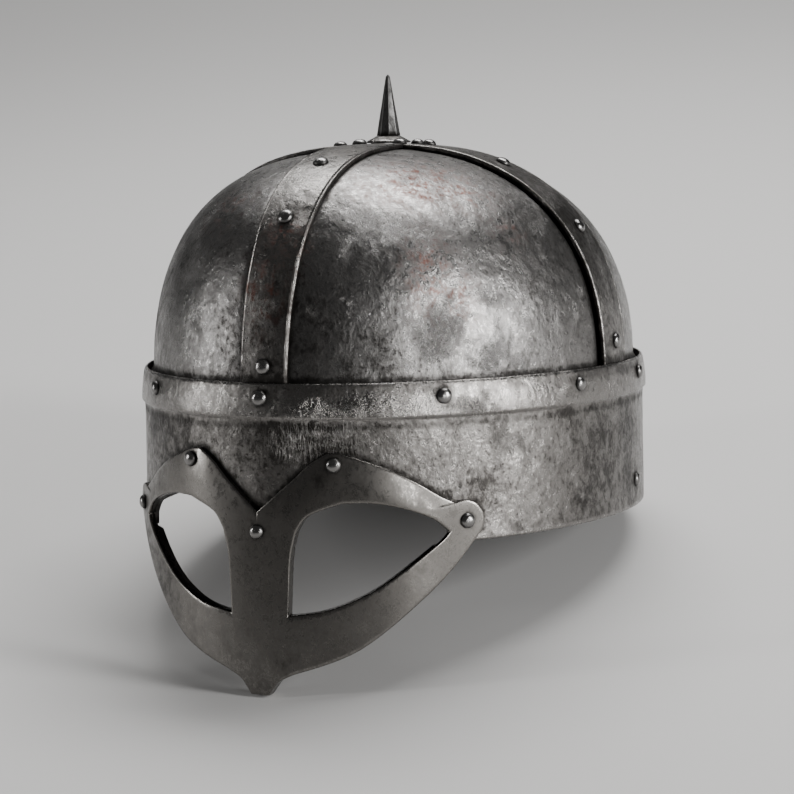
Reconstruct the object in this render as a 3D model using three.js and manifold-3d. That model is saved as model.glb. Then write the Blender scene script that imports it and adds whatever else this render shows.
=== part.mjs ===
// Norse iron helmet: a riveted bowl of four plates under crossed bands, a brow band, a spectacle guard and a spike.
// Millimetres. The helmet is built level, with the brow band's lower edge at height 0 and the face towards -Y, and is
// then leaned back until it stands on the guard's nasal tip and the back of its rim.
import * as THREE from "three";
import { mergeVertices } from "three/addons/utils/BufferGeometryUtils.js";
import Module from "manifold-3d";

const wasm = await Module();
wasm.setup();

// Plan of the brow band: an egg that is narrower towards the face
const halfWidth = 100;
const halfLength = 120;
const egg = 0.048;

// Brow band: outer and inner profile as [offset from the plan, height]
const rimHeight = 60.9;
const browOuterProfile = [
  [0.6, 0],
  [0.2, 43.6],
  [1.2, 46.6],
  [1.5, 49],
  [1.2, 53.5],
  [0.5, 58.4],
  [0, 60.2],
  [-0.7, rimHeight],
];
const browInnerProfile = [
  [-1.2, 60.1],
  [-1.25, 49],
  [-1.9, 43.5],
  [-1.5, 0],
];
const browSegments = 48;

// Bowl: its plan shrinks and rises along a rounded profile about a centre at bowlBase
const bowlBase = 60;
const bowlHalfLength = 120.8;
const bowlMean = 94.4;
const bowlTaper = 4.7;
const bowlSquareness = 2.9;
const crownFullness = 0.8;
const crownFullnessPower = 8;
const crownShift = -2;
const foreheadFullness = 6.9;
const plateThickness = 2;
const plateHemRises = [-0.135, -0.026, 0.012];
const plateTopRise = 1.463;
const plateUpperRows = 8;
const plateMiddleColumns = 7;
const hemFlare = 2.1;
const hemFlareRise = [-0.026, 0.012];
const hemFlareAngle = [0.125, 0.172];

// Laps of the bowl plates under each other, below the bands
const lapReach = 5;
const joggleReach = 6.3;
const joggleDepth = 2.3;
const lapShare = 0.24;
const joggleShare = 0.3;
const underBandReach = 12.4;
const underBandShare = 0.45;

// Bands over the bowl
const bandGap = 0.45;
const bandThickness = 1.8;
const crestHalfWidthBrow = 9.6;
const crestHalfWidthCrown = 12;
const crestWidening = [0.15, 0.75];
const crestLean = 1.8;
const crestStations = 28;
const sideHalfWidthBrow = 11;
const sideHalfWidthCrown = 12;
const sideWidening = [0, 0.9];
const sideEndFromMiddle = crestHalfWidthCrown + 1.2;
const sideStations = 13;
const bandEndRise = -0.085;
const bandColumns = 3;

// Crown washer, a low cone whose underside follows the bowl, and the spike on it
const washerBase = 150.45;
const washerRadius = 9.3;
const washerHole = 2.6;
const washerDish = 0.45;
const washerRimTop = 0.3;
const washerHeight = 2.5;
const washerSides = 16;
const spikeBase = washerBase + washerHeight + 0.35;
const spikeTip = 178;
const spikeRadius = 4.9;
const spikeTipRadius = 0.95;
const spikeSides = 8;
const spikeShankRadius = 2.2;
const spikePeenRadius = 4.4;
const spikePeenTop = 147.4;
const spikePeenEdge = 0.8;
const spikePeenHeight = 2;
const spikeTurn = THREE.MathUtils.degToRad(3);
const shankHoleLength = 12;

// Eye guard
const guardOuter = 3;
const guardInner = -1.8;
const guardBandClearance = 0.3;
const guardShift = -1.1;
const guardDrop = 56.6;
const guardRows = 2;
const guardRebateTop = 40.9;
const guardRebateDepth = 2;
const eyePlugReach = 6;
const eyePlugMiddle = [40, -2];
const eyeInnerCorner = [12, -26];
const eyeOuterCorner = [73.6, 4.4];
const eyeBridgeTop = [15.6, 5.6];
const eyePeak = [33, 16.4];
const notch = [0, 13];
const browPeak = [27.6, 35.3];
const earCentre = [80.6, 8.2];
const earRadius = 7.7;
const earTopTurn = THREE.MathUtils.degToRad(118);
const earSideTurn = THREE.MathUtils.degToRad(0);
const earEndTurn = THREE.MathUtils.degToRad(-35);
const nasalCorner = [3.6, -guardDrop];

// Rivets
const rivetHeadRadius = 3;
const rivetHeadHeight = 2.1;
const rivetShoulderRadius = 0.62 * rivetHeadRadius;
const rivetShoulderHeight = 0.78 * rivetHeadHeight;
const rivetShankRadius = 1.4;
const rivetPeenRadius = 2.3;
const rivetPeenHeight = 0.9;
const rivetSides = 7;
const rivetGap = 0.3;
const holeSides = 4;
const rivetPeenGap = 0.9;
const holeClearance = 0.86;
const holeExtraLength = 2.4;

// Finishes
const iron = (name, colour, roughness) =>
  new THREE.MeshStandardMaterial({ name, color: colour, roughness, metalness: 0.9 });
const plateIron = iron("plate_iron", 0x6b6864, 0.48);
const bandIron = iron("band_iron", 0x67635f, 0.46);
const guardIron = iron("guard_iron", 0x6a635c, 0.5);
const rivetIron = iron("rivet_iron", 0x5c5854, 0.42);
const spikeIron = iron("spike_iron", 0x4c4a48, 0.55);

// The plan curve at an angle from the face, positive towards the wearer's left (+X)
function planPoint(angle, offset, height) {
  const x = (halfWidth + offset) * Math.sin(angle) * (1 - egg * Math.cos(angle));
  const y = -(halfLength + offset) * Math.cos(angle);
  return new THREE.Vector3(x, y, height);
}

// The plan's outward direction at an angle
function planNormal(angle) {
  const step = 1e-3;
  const before = planPoint(angle - step, 0, 0);
  const along = planPoint(angle + step, 0, 0).sub(before);
  return new THREE.Vector3(along.y, -along.x, 0).normalize();
}

// The angle at a length measured along the plan, out at the guard, from the middle of the face
const arcSteps = 600;
const arcOffset = 2.5;
const arcLengths = [0];
for (let i = 1; i <= arcSteps; i += 1) {
  const here = planPoint((Math.PI * i) / arcSteps, arcOffset, 0);
  const last = planPoint((Math.PI * (i - 1)) / arcSteps, arcOffset, 0);
  arcLengths.push(arcLengths[i - 1] + here.distanceTo(last));
}
function angleAtArc(length) {
  const size = Math.abs(length);
  let i = 1;
  while (i < arcSteps && arcLengths[i] < size) i += 1;
  const part = (size - arcLengths[i - 1]) / (arcLengths[i] - arcLengths[i - 1]);
  return (Math.sign(length) * Math.PI * (i - 1 + part)) / arcSteps;
}

// The bowl's profile: how far out and how high it is at a rise angle
function bowlProfile(rise) {
  const crown = crownFullness * Math.max(Math.sin(rise), 0) ** crownFullnessPower;
  const reach = bowlMean + bowlTaper * Math.cos(2 * rise) - bowlSquareness * Math.cos(4 * rise) + crown;
  return { scale: (reach * Math.cos(rise)) / halfWidth, height: bowlBase + reach * Math.sin(rise) };
}

// The bowl leans forward between its rim and its crown
const rimScale = bowlProfile(0).scale;
function bowlShift(scale) {
  const share = scale / rimScale;
  return (1 - share) * crownShift - foreheadFullness * 4 * share * (1 - share);
}

function bowlBasePoint(angle, rise) {
  const { scale, height } = bowlProfile(rise);
  const x = scale * halfWidth * Math.sin(angle) * (1 - egg * Math.cos(angle));
  const y = -scale * bowlHalfLength * Math.cos(angle) + bowlShift(scale);
  return new THREE.Vector3(x, y, height);
}

function riseAtHeight(height) {
  let low = -0.4;
  let high = Math.PI / 2;
  for (let i = 0; i < 40; i += 1) {
    const middle = (low + high) / 2;
    if (bowlProfile(middle).height < height) low = middle;
    else high = middle;
  }
  return (low + high) / 2;
}

// Negative inside the bowl's outer surface and positive outside it
function bowlLevel(point) {
  const top = bowlProfile(Math.PI / 2).height;
  if (point.z >= top) return 1 + (point.z - top) * 0.02;
  const { scale } = bowlProfile(riseAtHeight(point.z));
  const cosine = -(point.y - bowlShift(scale)) / scale / bowlHalfLength;
  const sine = point.x / scale / halfWidth / (1 - egg * cosine);
  return sine * sine + cosine * cosine - 1;
}

function bowlNormal(point) {
  const step = 0.05;
  const slope = (axis) => {
    const ahead = point.clone();
    const behind = point.clone();
    ahead[axis] += step;
    behind[axis] -= step;
    return bowlLevel(ahead) - bowlLevel(behind);
  };
  const top = bowlProfile(Math.PI / 2).height;
  if (point.z > top - 0.12) return new THREE.Vector3(0, 0, 1);
  return new THREE.Vector3(slope("x"), slope("y"), slope("z")).normalize();
}

// Where a line from a start inside the bowl leaves it
function bowlHit(start, direction) {
  let low = 0;
  let high = 160;
  for (let i = 0; i < 44; i += 1) {
    const middle = (low + high) / 2;
    if (bowlLevel(start.clone().addScaledVector(direction, middle)) < 0) low = middle;
    else high = middle;
  }
  return start.clone().addScaledVector(direction, (low + high) / 2);
}

function offsetFromBowl(point, offset) {
  return point.clone().addScaledVector(bowlNormal(point), offset);
}

function slopeBetween(low, high, value) {
  return THREE.MathUtils.clamp((value - low) / (high - low), 0, 1);
}

// Triangles from lists of corner points, turned outwards by the order of the corners
class Shell {
  constructor() {
    this.positions = [];
  }

  triangle(a, b, c) {
    this.positions.push(...a.toArray(), ...b.toArray(), ...c.toArray());
  }

  quad(a, b, c, d) {
    this.triangle(a, b, c);
    this.triangle(a, c, d);
  }

  geometry() {
    const geometry = new THREE.BufferGeometry();
    geometry.setAttribute("position", new THREE.Float32BufferAttribute(this.positions, 3));
    return geometry;
  }
}

// A sheet between two grids of points, rows by columns, with its edges closed
function sheet(outer, inner) {
  const shell = new Shell();
  const rows = outer.length - 1;
  const columns = outer[0].length - 1;
  for (let r = 0; r < rows; r += 1) {
    for (let c = 0; c < columns; c += 1) {
      shell.quad(outer[r][c], outer[r][c + 1], outer[r + 1][c + 1], outer[r + 1][c]);
      shell.quad(inner[r][c], inner[r + 1][c], inner[r + 1][c + 1], inner[r][c + 1]);
    }
    shell.quad(outer[r][0], outer[r + 1][0], inner[r + 1][0], inner[r][0]);
    shell.quad(outer[r][columns], inner[r][columns], inner[r + 1][columns], outer[r + 1][columns]);
  }
  for (let c = 0; c < columns; c += 1) {
    shell.quad(outer[0][c], inner[0][c], inner[0][c + 1], outer[0][c + 1]);
    shell.quad(outer[rows][c], outer[rows][c + 1], inner[rows][c + 1], inner[rows][c]);
  }
  return shell.geometry();
}

// A closed profile carried once around the plan
function hoop(profile, segments) {
  const shell = new Shell();
  const place = (i, [offset, height]) => planPoint((2 * Math.PI * (i % segments)) / segments, offset, height);
  for (let i = 0; i < segments; i += 1) {
    for (let k = 0; k < profile.length; k += 1) {
      const here = profile[k];
      const next = profile[(k + 1) % profile.length];
      shell.quad(place(i, here), place(i + 1, here), place(i + 1, next), place(i, next));
    }
  }
  return shell.geometry();
}

function toSolid(geometry) {
  const bare = new THREE.BufferGeometry();
  const plain = geometry.index ? geometry.toNonIndexed() : geometry;
  bare.setAttribute("position", plain.getAttribute("position"));
  const merged = mergeVertices(bare, 1e-4);
  return new wasm.Manifold(
    new wasm.Mesh({
      numProp: 3,
      vertProperties: new Float32Array(merged.attributes.position.array),
      triVerts: new Uint32Array(merged.index.array),
    }),
  );
}

function toGeometry(solid) {
  const mesh = solid.getMesh();
  const geometry = new THREE.BufferGeometry();
  geometry.setAttribute("position", new THREE.BufferAttribute(new Float32Array(mesh.vertProperties), 3));
  geometry.setIndex(new THREE.BufferAttribute(new Uint32Array(mesh.triVerts), 1));
  const flat = geometry.toNonIndexed();
  flat.computeVertexNormals();
  return flat;
}

// Bowl plates
function hemOffset(angle, rise) {
  const quarter = Math.PI / 2;
  const fromBand = Math.abs(angle / quarter - Math.round(angle / quarter)) * quarter;
  const besideBand = slopeBetween(hemFlareAngle[0], hemFlareAngle[1], fromBand);
  const belowRim = 1 - slopeBetween(hemFlareRise[0], hemFlareRise[1], rise);
  return hemFlare * besideBand * belowRim;
}

function plateGeometry(quarter) {
  const start = (quarter * Math.PI) / 2;
  const end = start + Math.PI / 2;
  const rises = [...plateHemRises];
  const lowest = rises.at(-1);
  rises.push(...evenSteps(lowest, plateTopRise, plateUpperRows).slice(1));
  const outer = [];
  const inner = [];
  for (const rise of rises) {
    const radius = bowlProfile(rise).scale * halfWidth;
    const lap = Math.asin(Math.min(lapReach / radius, lapShare));
    const joggle = Math.asin(Math.min(joggleReach / radius, joggleShare));
    const reach = Math.asin(Math.min(underBandReach / radius, 1));
    const underBand = Math.min(Math.max(hemFlareAngle[0], reach), underBandShare);
    const clear = underBand + hemFlareAngle[1] - hemFlareAngle[0];
    const columns = [
      { angle: start - lap, sunk: 0 },
      { angle: start + lap, sunk: 0 },
      { angle: start + underBand, sunk: 0 },
      ...evenSteps(start + clear, end - clear, plateMiddleColumns).map((angle) => ({ angle, sunk: 0 })),
      { angle: end - underBand, sunk: 0 },
      { angle: end - joggle, sunk: 1 },
      { angle: end + lap, sunk: 1 },
    ];
    const place = (thickness) =>
      columns.map(({ angle, sunk }) => {
        const offset = hemOffset(angle, rise) - sunk * joggleDepth - thickness;
        return offsetFromBowl(bowlBasePoint(angle, rise), offset);
      });
    outer.push(place(0));
    inner.push(place(plateThickness));
  }
  return sheet(outer, inner);
}

// Bands over the bowl, each a grid of stations along it by columns across it
function bandGeometry(stations, halfWidthAt, pointAt) {
  const outer = [];
  const inner = [];
  for (const station of stations) {
    const outerRow = [];
    const innerRow = [];
    for (let c = 0; c <= bandColumns; c += 1) {
      const across = halfWidthAt(station) * ((2 * c) / bandColumns - 1);
      const base = pointAt(station, across);
      outerRow.push(offsetFromBowl(base, bandGap + bandThickness));
      innerRow.push(offsetFromBowl(base, bandGap));
    }
    outer.push(outerRow);
    inner.push(innerRow);
  }
  return sheet(outer, inner);
}

function crestPoint(turn, across) {
  const progress = THREE.MathUtils.clamp(turn / (Math.PI / 2), 0, 1);
  const lean = crestLean * Math.sin(Math.PI * progress);
  const start = new THREE.Vector3(across + lean, crownShift, bowlBase);
  return bowlHit(start, new THREE.Vector3(0, -Math.cos(turn), Math.sin(turn)));
}

function crestHalfWidth(turn) {
  const progress = Math.min(turn, Math.PI - turn) / (Math.PI / 2);
  return THREE.MathUtils.lerp(crestHalfWidthBrow, crestHalfWidthCrown, slopeBetween(...crestWidening, progress));
}

function sidePoint(side, turn, across) {
  const start = new THREE.Vector3(0, crownShift + across, bowlBase);
  let point = start;
  for (let i = 0; i < 8; i += 1) {
    start.y = bowlShift(Math.abs(point.x) / halfWidth) + across;
    point = bowlHit(start, new THREE.Vector3(side * Math.cos(turn), 0, Math.sin(turn)));
  }
  return point;
}

function sideHalfWidth(turn) {
  const progress = turn / (Math.PI / 2);
  return THREE.MathUtils.lerp(sideHalfWidthBrow, sideHalfWidthCrown, slopeBetween(...sideWidening, progress));
}

function evenSteps(low, high, count) {
  return Array.from({ length: count + 1 }, (_, i) => low + ((high - low) * i) / count);
}

function crestBandGeometry() {
  const stations = evenSteps(bandEndRise, Math.PI - bandEndRise, crestStations);
  return bandGeometry(stations, crestHalfWidth, crestPoint);
}

// Each side band ends just short of the crest band's edge
function sideBandGeometry(side) {
  const endTurn = Math.atan2(bowlProfile(Math.PI / 2).height - bowlBase, sideEndFromMiddle);
  const stations = evenSteps(bandEndRise, endTurn, sideStations);
  return bandGeometry(stations, sideHalfWidth, (turn, across) => sidePoint(side, turn, side * across));
}

// Eye guard: each half is a ring of cells between its eye hole and its outline, as [length along the plan, height]
const toVectors = (points) => points.map(([along, height]) => new THREE.Vector2(along, height));
const splineThrough = (points, count) => new THREE.SplineCurve(toVectors(points)).getSpacedPoints(count);

function straight(from, to, count) {
  const [a, b] = toVectors([from, to]);
  return evenSteps(0, 1, count).map((share) => a.clone().lerp(b, share));
}

function earArc(fromTurn, toTurn, count) {
  return evenSteps(fromTurn, toTurn, count).map(
    (turn) =>
      new THREE.Vector2(earCentre[0] + earRadius * Math.cos(turn), earCentre[1] + earRadius * Math.sin(turn)),
  );
}

const chain = (...parts) => parts.flatMap((part, i) => (i ? part.slice(1) : part));

// Four stretches of the eye hole, from its inner lower corner up the nose, over the eye and back below it
const eyeStretches = [
  splineThrough([eyeInnerCorner, [12.6, -14], [13.4, -3.5], eyeBridgeTop], 7),
  splineThrough([eyeBridgeTop, [20.6, 11.9], eyePeak], 5),
  splineThrough([eyePeak, [44, 16.3], [56, 13.9], [67, 9.6], eyeOuterCorner], 11),
  splineThrough([eyeOuterCorner, [70, 0.8], [60, -6.2], [45, -16], [28, -23.2], eyeInnerCorner], 14),
];

// The stretches of the outline that face them: the middle line, the notch's side, the brow with the ear's top, and
// the ear's end with the lower edge
const earTop = [
  earCentre[0] + earRadius * Math.cos(earTopTurn),
  earCentre[1] + earRadius * Math.sin(earTopTurn),
];
const earEnd = [
  earCentre[0] + earRadius * Math.cos(earEndTurn),
  earCentre[1] + earRadius * Math.sin(earEndTurn),
];
const outlineStretches = [
  straight([0, -guardDrop], notch, 7),
  splineThrough([notch, [14, 25], [21, 31.4], browPeak], 5),
  chain(
    splineThrough([browPeak, [32.6, 34.9], [40, 32.7], [51, 28.6], [62, 23.2], [70, 18.3], earTop], 7),
    earArc(earTopTurn, earSideTurn, 4),
  ),
  chain(
    earArc(earSideTurn, earEndTurn, 2),
    splineThrough([earEnd, [74.2, -10.5], [58.7, -24], [42, -36.6], [30, -42.6], [14, -48]], 7),
    splineThrough([[14, -48], [8.2, -50.8], [5.4, -54], nasalCorner], 4),
    straight(nasalCorner, [0, -guardDrop], 1),
  ),
];

// The ring of cells of one half: side 1 is the wearer's left, side -1 the right
function guardHalf(shell, side, outerOffset, innerOffset) {
  const eye = chain(...eyeStretches);
  const outline = chain(...outlineStretches);
  const count = eye.length - 1;
  const grid = (offset) =>
    evenSteps(0, 1, guardRows).map((share) =>
      evenSteps(0, count, count).map((i) => {
        const spot = eye[i].clone().lerp(outline[i], share);
        return planPoint(angleAtArc(side * spot.x + guardShift), offset, spot.y);
      }),
    );
  const outer = grid(outerOffset);
  const inner = grid(innerOffset);
  const face = (a, b, c, d) => (side > 0 ? shell.quad(a, b, c, d) : shell.quad(d, c, b, a));
  for (let i = 0; i < count; i += 1) {
    for (let r = 0; r < guardRows; r += 1) {
      face(outer[r][i], outer[r][i + 1], outer[r + 1][i + 1], outer[r + 1][i]);
      face(inner[r][i], inner[r + 1][i], inner[r + 1][i + 1], inner[r][i + 1]);
    }
    face(outer[0][i], inner[0][i], inner[0][i + 1], outer[0][i + 1]);
    const onMiddle = i < outlineStretches[0].length - 1;
    if (!onMiddle) {
      face(outer[guardRows][i], outer[guardRows][i + 1], inner[guardRows][i + 1], inner[guardRows][i]);
    }
  }
}

function guardSolid() {
  const shell = new Shell();
  guardHalf(shell, 1, guardOuter, guardInner);
  guardHalf(shell, -1, guardOuter, guardInner);
  // The upper half is rebated to lie over the brow band, and the lower half hangs flush with it
  const [bandFoot, bandHollow] = browOuterProfile;
  const rebate = [
    [bandFoot[0] + guardBandClearance, -guardBandClearance],
    [bandHollow[0] + guardBandClearance, guardRebateTop],
    [guardInner - guardRebateDepth, guardRebateTop],
    [guardInner - guardRebateDepth, -guardBandClearance],
  ];
  return toSolid(shell.geometry()).subtract(toSolid(hoop(rebate, browSegments)));
}

// What an eye hole takes out of the brow band
function eyePlug(side) {
  const shell = new Shell();
  const eye = chain(...eyeStretches);
  const middle = new THREE.Vector2(...eyePlugMiddle);
  const place = (spot, offset) => planPoint(angleAtArc(side * spot.x + guardShift), offset, spot.y);
  const face = (a, b, c) => (side > 0 ? shell.triangle(a, b, c) : shell.triangle(c, b, a));
  for (let i = 0; i < eye.length - 1; i += 1) {
    const [here, next] = [eye[i], eye[i + 1]];
    const [outerHere, outerNext, outerMiddle] = [here, next, middle].map((spot) => place(spot, eyePlugReach));
    const [innerHere, innerNext, innerMiddle] = [here, next, middle].map((spot) => place(spot, -eyePlugReach));
    face(outerHere, outerMiddle, outerNext);
    face(innerNext, innerMiddle, innerHere);
    face(outerHere, outerNext, innerHere);
    face(outerNext, innerNext, innerHere);
  }
  return toSolid(shell.geometry());
}

// Rivets: a place, an outward direction, and the depths of the sheets that they hold
const rivets = [];

function addRivet(name, seat, outward, top, bottom) {
  rivets.push({ name, seat, outward: outward.clone().normalize(), top, bottom });
}

function planRivet(name, angle, height, top, bottom) {
  addRivet(name, planPoint(angle, 0, height), planNormal(angle), top, bottom);
}

function bowlRivet(name, point, top, bottom) {
  addRivet(name, point, bowlNormal(point), top, bottom);
}

const degrees = THREE.MathUtils.degToRad;
const plateInPlan = (rimScale - 1) * halfWidth;
const lappedDepth = joggleDepth + plateThickness;

// Brow rivets, as the angle from the face and whether they go through a lap of two plates under a band
const browRivets = [
  { angle: degrees(0), lapped: true },
  { angle: degrees(39.9), lapped: false },
  { angle: degrees(73), lapped: false },
  { angle: degrees(100.6), lapped: false },
  { angle: degrees(135), lapped: false },
  { angle: degrees(180), lapped: true },
  { angle: degrees(-135), lapped: false },
  { angle: degrees(-100.6), lapped: false },
  { angle: degrees(-70), lapped: false },
  { angle: degrees(-36.5), lapped: false },
];
const browRivetHeight = 55.2;
const browRivetTop = 1;
const lappedBrowExtra = 1.2;
browRivets.forEach(({ angle, lapped }, i) => {
  const hem = hemOffset(angle, (browRivetHeight - bowlBase) / halfWidth);
  const depth = lapped ? lappedDepth + lappedBrowExtra : plateThickness;
  planRivet(`brow_rivet_${i + 1}`, angle, browRivetHeight, browRivetTop, plateInPlan + hem - depth);
});

// Rim rivets, low on each side
const rimRivetAngles = [99.2, -99.2];
const rimRivetHeight = 11;
const rimRivetTop = 0.45;
const insideBand = -1.6;
rimRivetAngles.forEach((angle, i) => {
  planRivet(`rim_rivet_${i + 1}`, degrees(angle), rimRivetHeight, rimRivetTop, insideBand);
});

// Guard rivets, as length along the plan and height
const guardRivets = [
  [0, 5.4],
  [30, 30.8],
  [-32, 30.8],
  [earCentre[0], earCentre[1]],
  [-earCentre[0], earCentre[1]],
];
guardRivets.forEach(([along, height], i) => {
  planRivet(`guard_rivet_${i + 1}`, angleAtArc(along + guardShift), height, guardOuter, insideBand);
});

// Crest and side rivets, by their turn about the bowl's centre
const bandTop = bandGap + bandThickness;
const crestTurns = [3.3, 32, 50, 130, 148, 176.7];
crestTurns.forEach((turn, i) => {
  bowlRivet(`crest_rivet_${i + 1}`, crestPoint(degrees(turn), 0), bandTop, -lappedDepth);
});
const sideTurns = [5.6, 33.5, 56.5, 77];
for (const [side, word] of [[1, "left"], [-1, "right"]]) {
  sideTurns.forEach((turn, i) => {
    bowlRivet(`side_rivet_${word}_${i + 1}`, sidePoint(side, degrees(turn), 0), bandTop, -lappedDepth);
  });
}

// Crown rivets, through the crest band beside the washer
const crownRivetReach = 9;
const crownRivetBottom = -plateThickness - 0.7;
const crownCorners = [[1, -1], [1, 1], [-1, 1], [-1, -1]];
crownCorners.forEach(([sideways, backways], i) => {
  const spot = new THREE.Vector3(sideways * crownRivetReach, crownShift + backways * crownRivetReach, bowlBase);
  const point = bowlHit(spot, new THREE.Vector3(0, 0, 1));
  bowlRivet(`crown_rivet_${i + 1}`, point, bandTop, crownRivetBottom);
});

function rivetGeometry(top, bottom) {
  const under = top + rivetGap;
  const peen = bottom - rivetPeenGap;
  const profile = [
    [0, peen - rivetPeenHeight],
    [rivetPeenRadius, peen],
    [rivetShankRadius, peen],
    [rivetShankRadius, under],
    [rivetHeadRadius, under],
    [rivetShoulderRadius, under + rivetShoulderHeight],
    [0, under + rivetHeadHeight],
  ];
  const points = profile.map(([radius, along]) => new THREE.Vector2(radius, along));
  return new THREE.LatheGeometry(points, rivetSides);
}

function placeRivet(object, { seat, outward }) {
  object.position.copy(seat);
  object.quaternion.setFromUnitVectors(new THREE.Vector3(0, 1, 0), outward);
  object.updateMatrix();
  return object;
}

function rivetHole(rivet) {
  const length = rivet.top - rivet.bottom + holeExtraLength;
  const radius = rivetShankRadius + holeClearance;
  const geometry = new THREE.CylinderGeometry(radius, radius, length, holeSides);
  geometry.translate(0, (rivet.top + rivet.bottom) / 2, 0);
  const holder = placeRivet(new THREE.Object3D(), rivet);
  geometry.applyMatrix4(holder.matrix);
  return toSolid(geometry);
}

const rivetHoles = rivets.map(rivetHole);

function drilled(solid) {
  return rivetHoles.reduce((rest, hole) => rest.subtract(hole), solid);
}

// The hole for the spike's shank
function shankHole() {
  const radius = spikeShankRadius + holeClearance;
  const geometry = new THREE.CylinderGeometry(radius, radius, shankHoleLength, rivetSides);
  geometry.rotateX(Math.PI / 2);
  geometry.translate(0, crownShift, bowlProfile(Math.PI / 2).height);
  return toSolid(geometry);
}

// Assembly
const helmet = new THREE.Group();

function add(parent, name, geometry, material) {
  const mesh = new THREE.Mesh(geometry, material);
  mesh.name = name;
  parent.add(mesh);
  return mesh;
}

const bowl = new THREE.Group();
helmet.add(bowl);
const quarters = ["front_left", "back_left", "back_right", "front_right"];
quarters.forEach((word, quarter) => {
  add(bowl, `dome_plate_${word}`, toGeometry(drilled(toSolid(plateGeometry(quarter)))), plateIron);
});

const bands = new THREE.Group();
helmet.add(bands);
const crestSolid = drilled(toSolid(crestBandGeometry())).subtract(shankHole());
add(bands, "crest_band", toGeometry(crestSolid), bandIron);
add(bands, "side_band_left", toGeometry(drilled(toSolid(sideBandGeometry(1)))), bandIron);
add(bands, "side_band_right", toGeometry(drilled(toSolid(sideBandGeometry(-1)))), bandIron);

const browProfile = [...browOuterProfile, ...browInnerProfile];
const browSolid = toSolid(hoop(browProfile, browSegments)).subtract(eyePlug(1)).subtract(eyePlug(-1));
add(helmet, "brow_band", toGeometry(drilled(browSolid)), bandIron);
add(helmet, "eye_guard", toGeometry(drilled(guardSolid())), guardIron);

// The crown's own axis, upright at the crossing of the bands
const crown = new THREE.Group();
crown.position.set(0, crownShift, 0);
crown.rotation.x = Math.PI / 2;
helmet.add(crown);

const washerProfile = [
  [washerHole, washerBase],
  [washerRadius, washerBase - washerDish],
  [washerRadius, washerBase + washerRimTop],
  [spikeRadius, washerBase + washerHeight],
  [washerHole, washerBase + washerHeight],
  [washerHole, washerBase],
];
const washerPoints = washerProfile.map(([radius, along]) => new THREE.Vector2(radius, along));
add(crown, "crown_washer", new THREE.LatheGeometry(washerPoints, washerSides), bandIron);

const spikeProfile = [
  [0, spikePeenTop - spikePeenHeight],
  [spikePeenRadius, spikePeenTop - spikePeenEdge],
  [spikePeenRadius, spikePeenTop],
  [spikeShankRadius, spikePeenTop],
  [spikeShankRadius, spikeBase],
  [spikeRadius, spikeBase],
  [spikeTipRadius, spikeTip],
  [0, spikeTip],
];
const spikePoints = spikeProfile.map(([radius, along]) => new THREE.Vector2(radius, along));
const spike = add(crown, "spike", new THREE.LatheGeometry(spikePoints, spikeSides), spikeIron);
spike.rotation.y = spikeTurn;

const rivetGroup = new THREE.Group();
helmet.add(rivetGroup);
for (const rivet of rivets) {
  const mesh = add(rivetGroup, rivet.name, rivetGeometry(rivet.top, rivet.bottom), rivetIron);
  placeRivet(mesh, rivet);
}

// At rest the helmet leans back on the nasal tip and the back of the rim
const tipReach = halfLength + guardInner;
const backReach = halfLength + browOuterProfile[0][0];
helmet.rotation.x = -Math.atan2(guardDrop, tipReach + backReach);

const stand = new THREE.Group();
stand.add(helmet);
stand.updateMatrixWorld(true);
const extent = new THREE.Box3().setFromObject(stand, true);
const middle = extent.getCenter(new THREE.Vector3());
stand.position.set(-middle.x, -middle.y, -extent.min.z);

export default stand;
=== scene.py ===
# Norse iron helmet: hammered surfaces, iron finishes, floor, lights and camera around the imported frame
import functools
import itertools
import math

import bmesh
import bpy
import numpy as np
from mathutils import Matrix


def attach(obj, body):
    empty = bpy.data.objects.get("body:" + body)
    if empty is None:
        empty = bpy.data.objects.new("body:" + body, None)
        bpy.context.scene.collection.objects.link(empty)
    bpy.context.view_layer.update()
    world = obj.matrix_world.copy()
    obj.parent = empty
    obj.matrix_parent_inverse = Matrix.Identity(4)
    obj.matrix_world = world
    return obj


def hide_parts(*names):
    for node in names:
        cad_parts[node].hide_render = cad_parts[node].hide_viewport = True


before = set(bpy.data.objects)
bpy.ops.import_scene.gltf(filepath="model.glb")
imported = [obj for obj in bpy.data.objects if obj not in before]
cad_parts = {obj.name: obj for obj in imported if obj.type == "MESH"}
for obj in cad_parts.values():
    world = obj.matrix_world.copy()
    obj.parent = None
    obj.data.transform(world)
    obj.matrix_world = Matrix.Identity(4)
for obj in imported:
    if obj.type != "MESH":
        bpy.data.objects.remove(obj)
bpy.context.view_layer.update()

# Sizes in millimetres, in the level frame: the brow band's lower edge at height 0 and the face towards -Y
MM = 0.001
HALF_WIDTH = 100.0
HALF_LENGTH = 120.0
EGG = 0.048
BOWL_BASE = 60.0
BOWL_HALF_LENGTH = 120.8
BOWL_MEAN = 94.4
BOWL_TAPER = 4.7
BOWL_SQUARENESS = 2.9
CROWN_FULLNESS = 0.8
CROWN_FULLNESS_POWER = 8
CROWN_SHIFT = -2.0
FOREHEAD_FULLNESS = 6.9
RIM_HEIGHT = 60.9
PLATE_THICKNESS = 2.0
PLATE_BOTTOM_RISE = -0.135
PLATE_TOP_RISE = 1.463
HEM_FLARE = 2.1
HEM_RISE = (-0.026, 0.012)
HEM_ANGLE = (0.125, 0.172)
LAP_REACH = 5.0
JOGGLE_FOOT = 6.3
JOGGLE_TOP = 12.4
JOGGLE_DEPTH = 2.3
BAND_GAP = 0.45
BAND_THICKNESS = 1.8
BAND_END_RISE = -0.085
CREST_HALF_WIDTHS = (9.6, 12.0)
CREST_LEAN = 1.8
SIDE_HALF_WIDTHS = (11.0, 12.0)
SIDE_END = 13.2
GUARD_OUTER = 3.0
GUARD_INNER = -1.8
GUARD_SHIFT = -1.1
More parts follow.
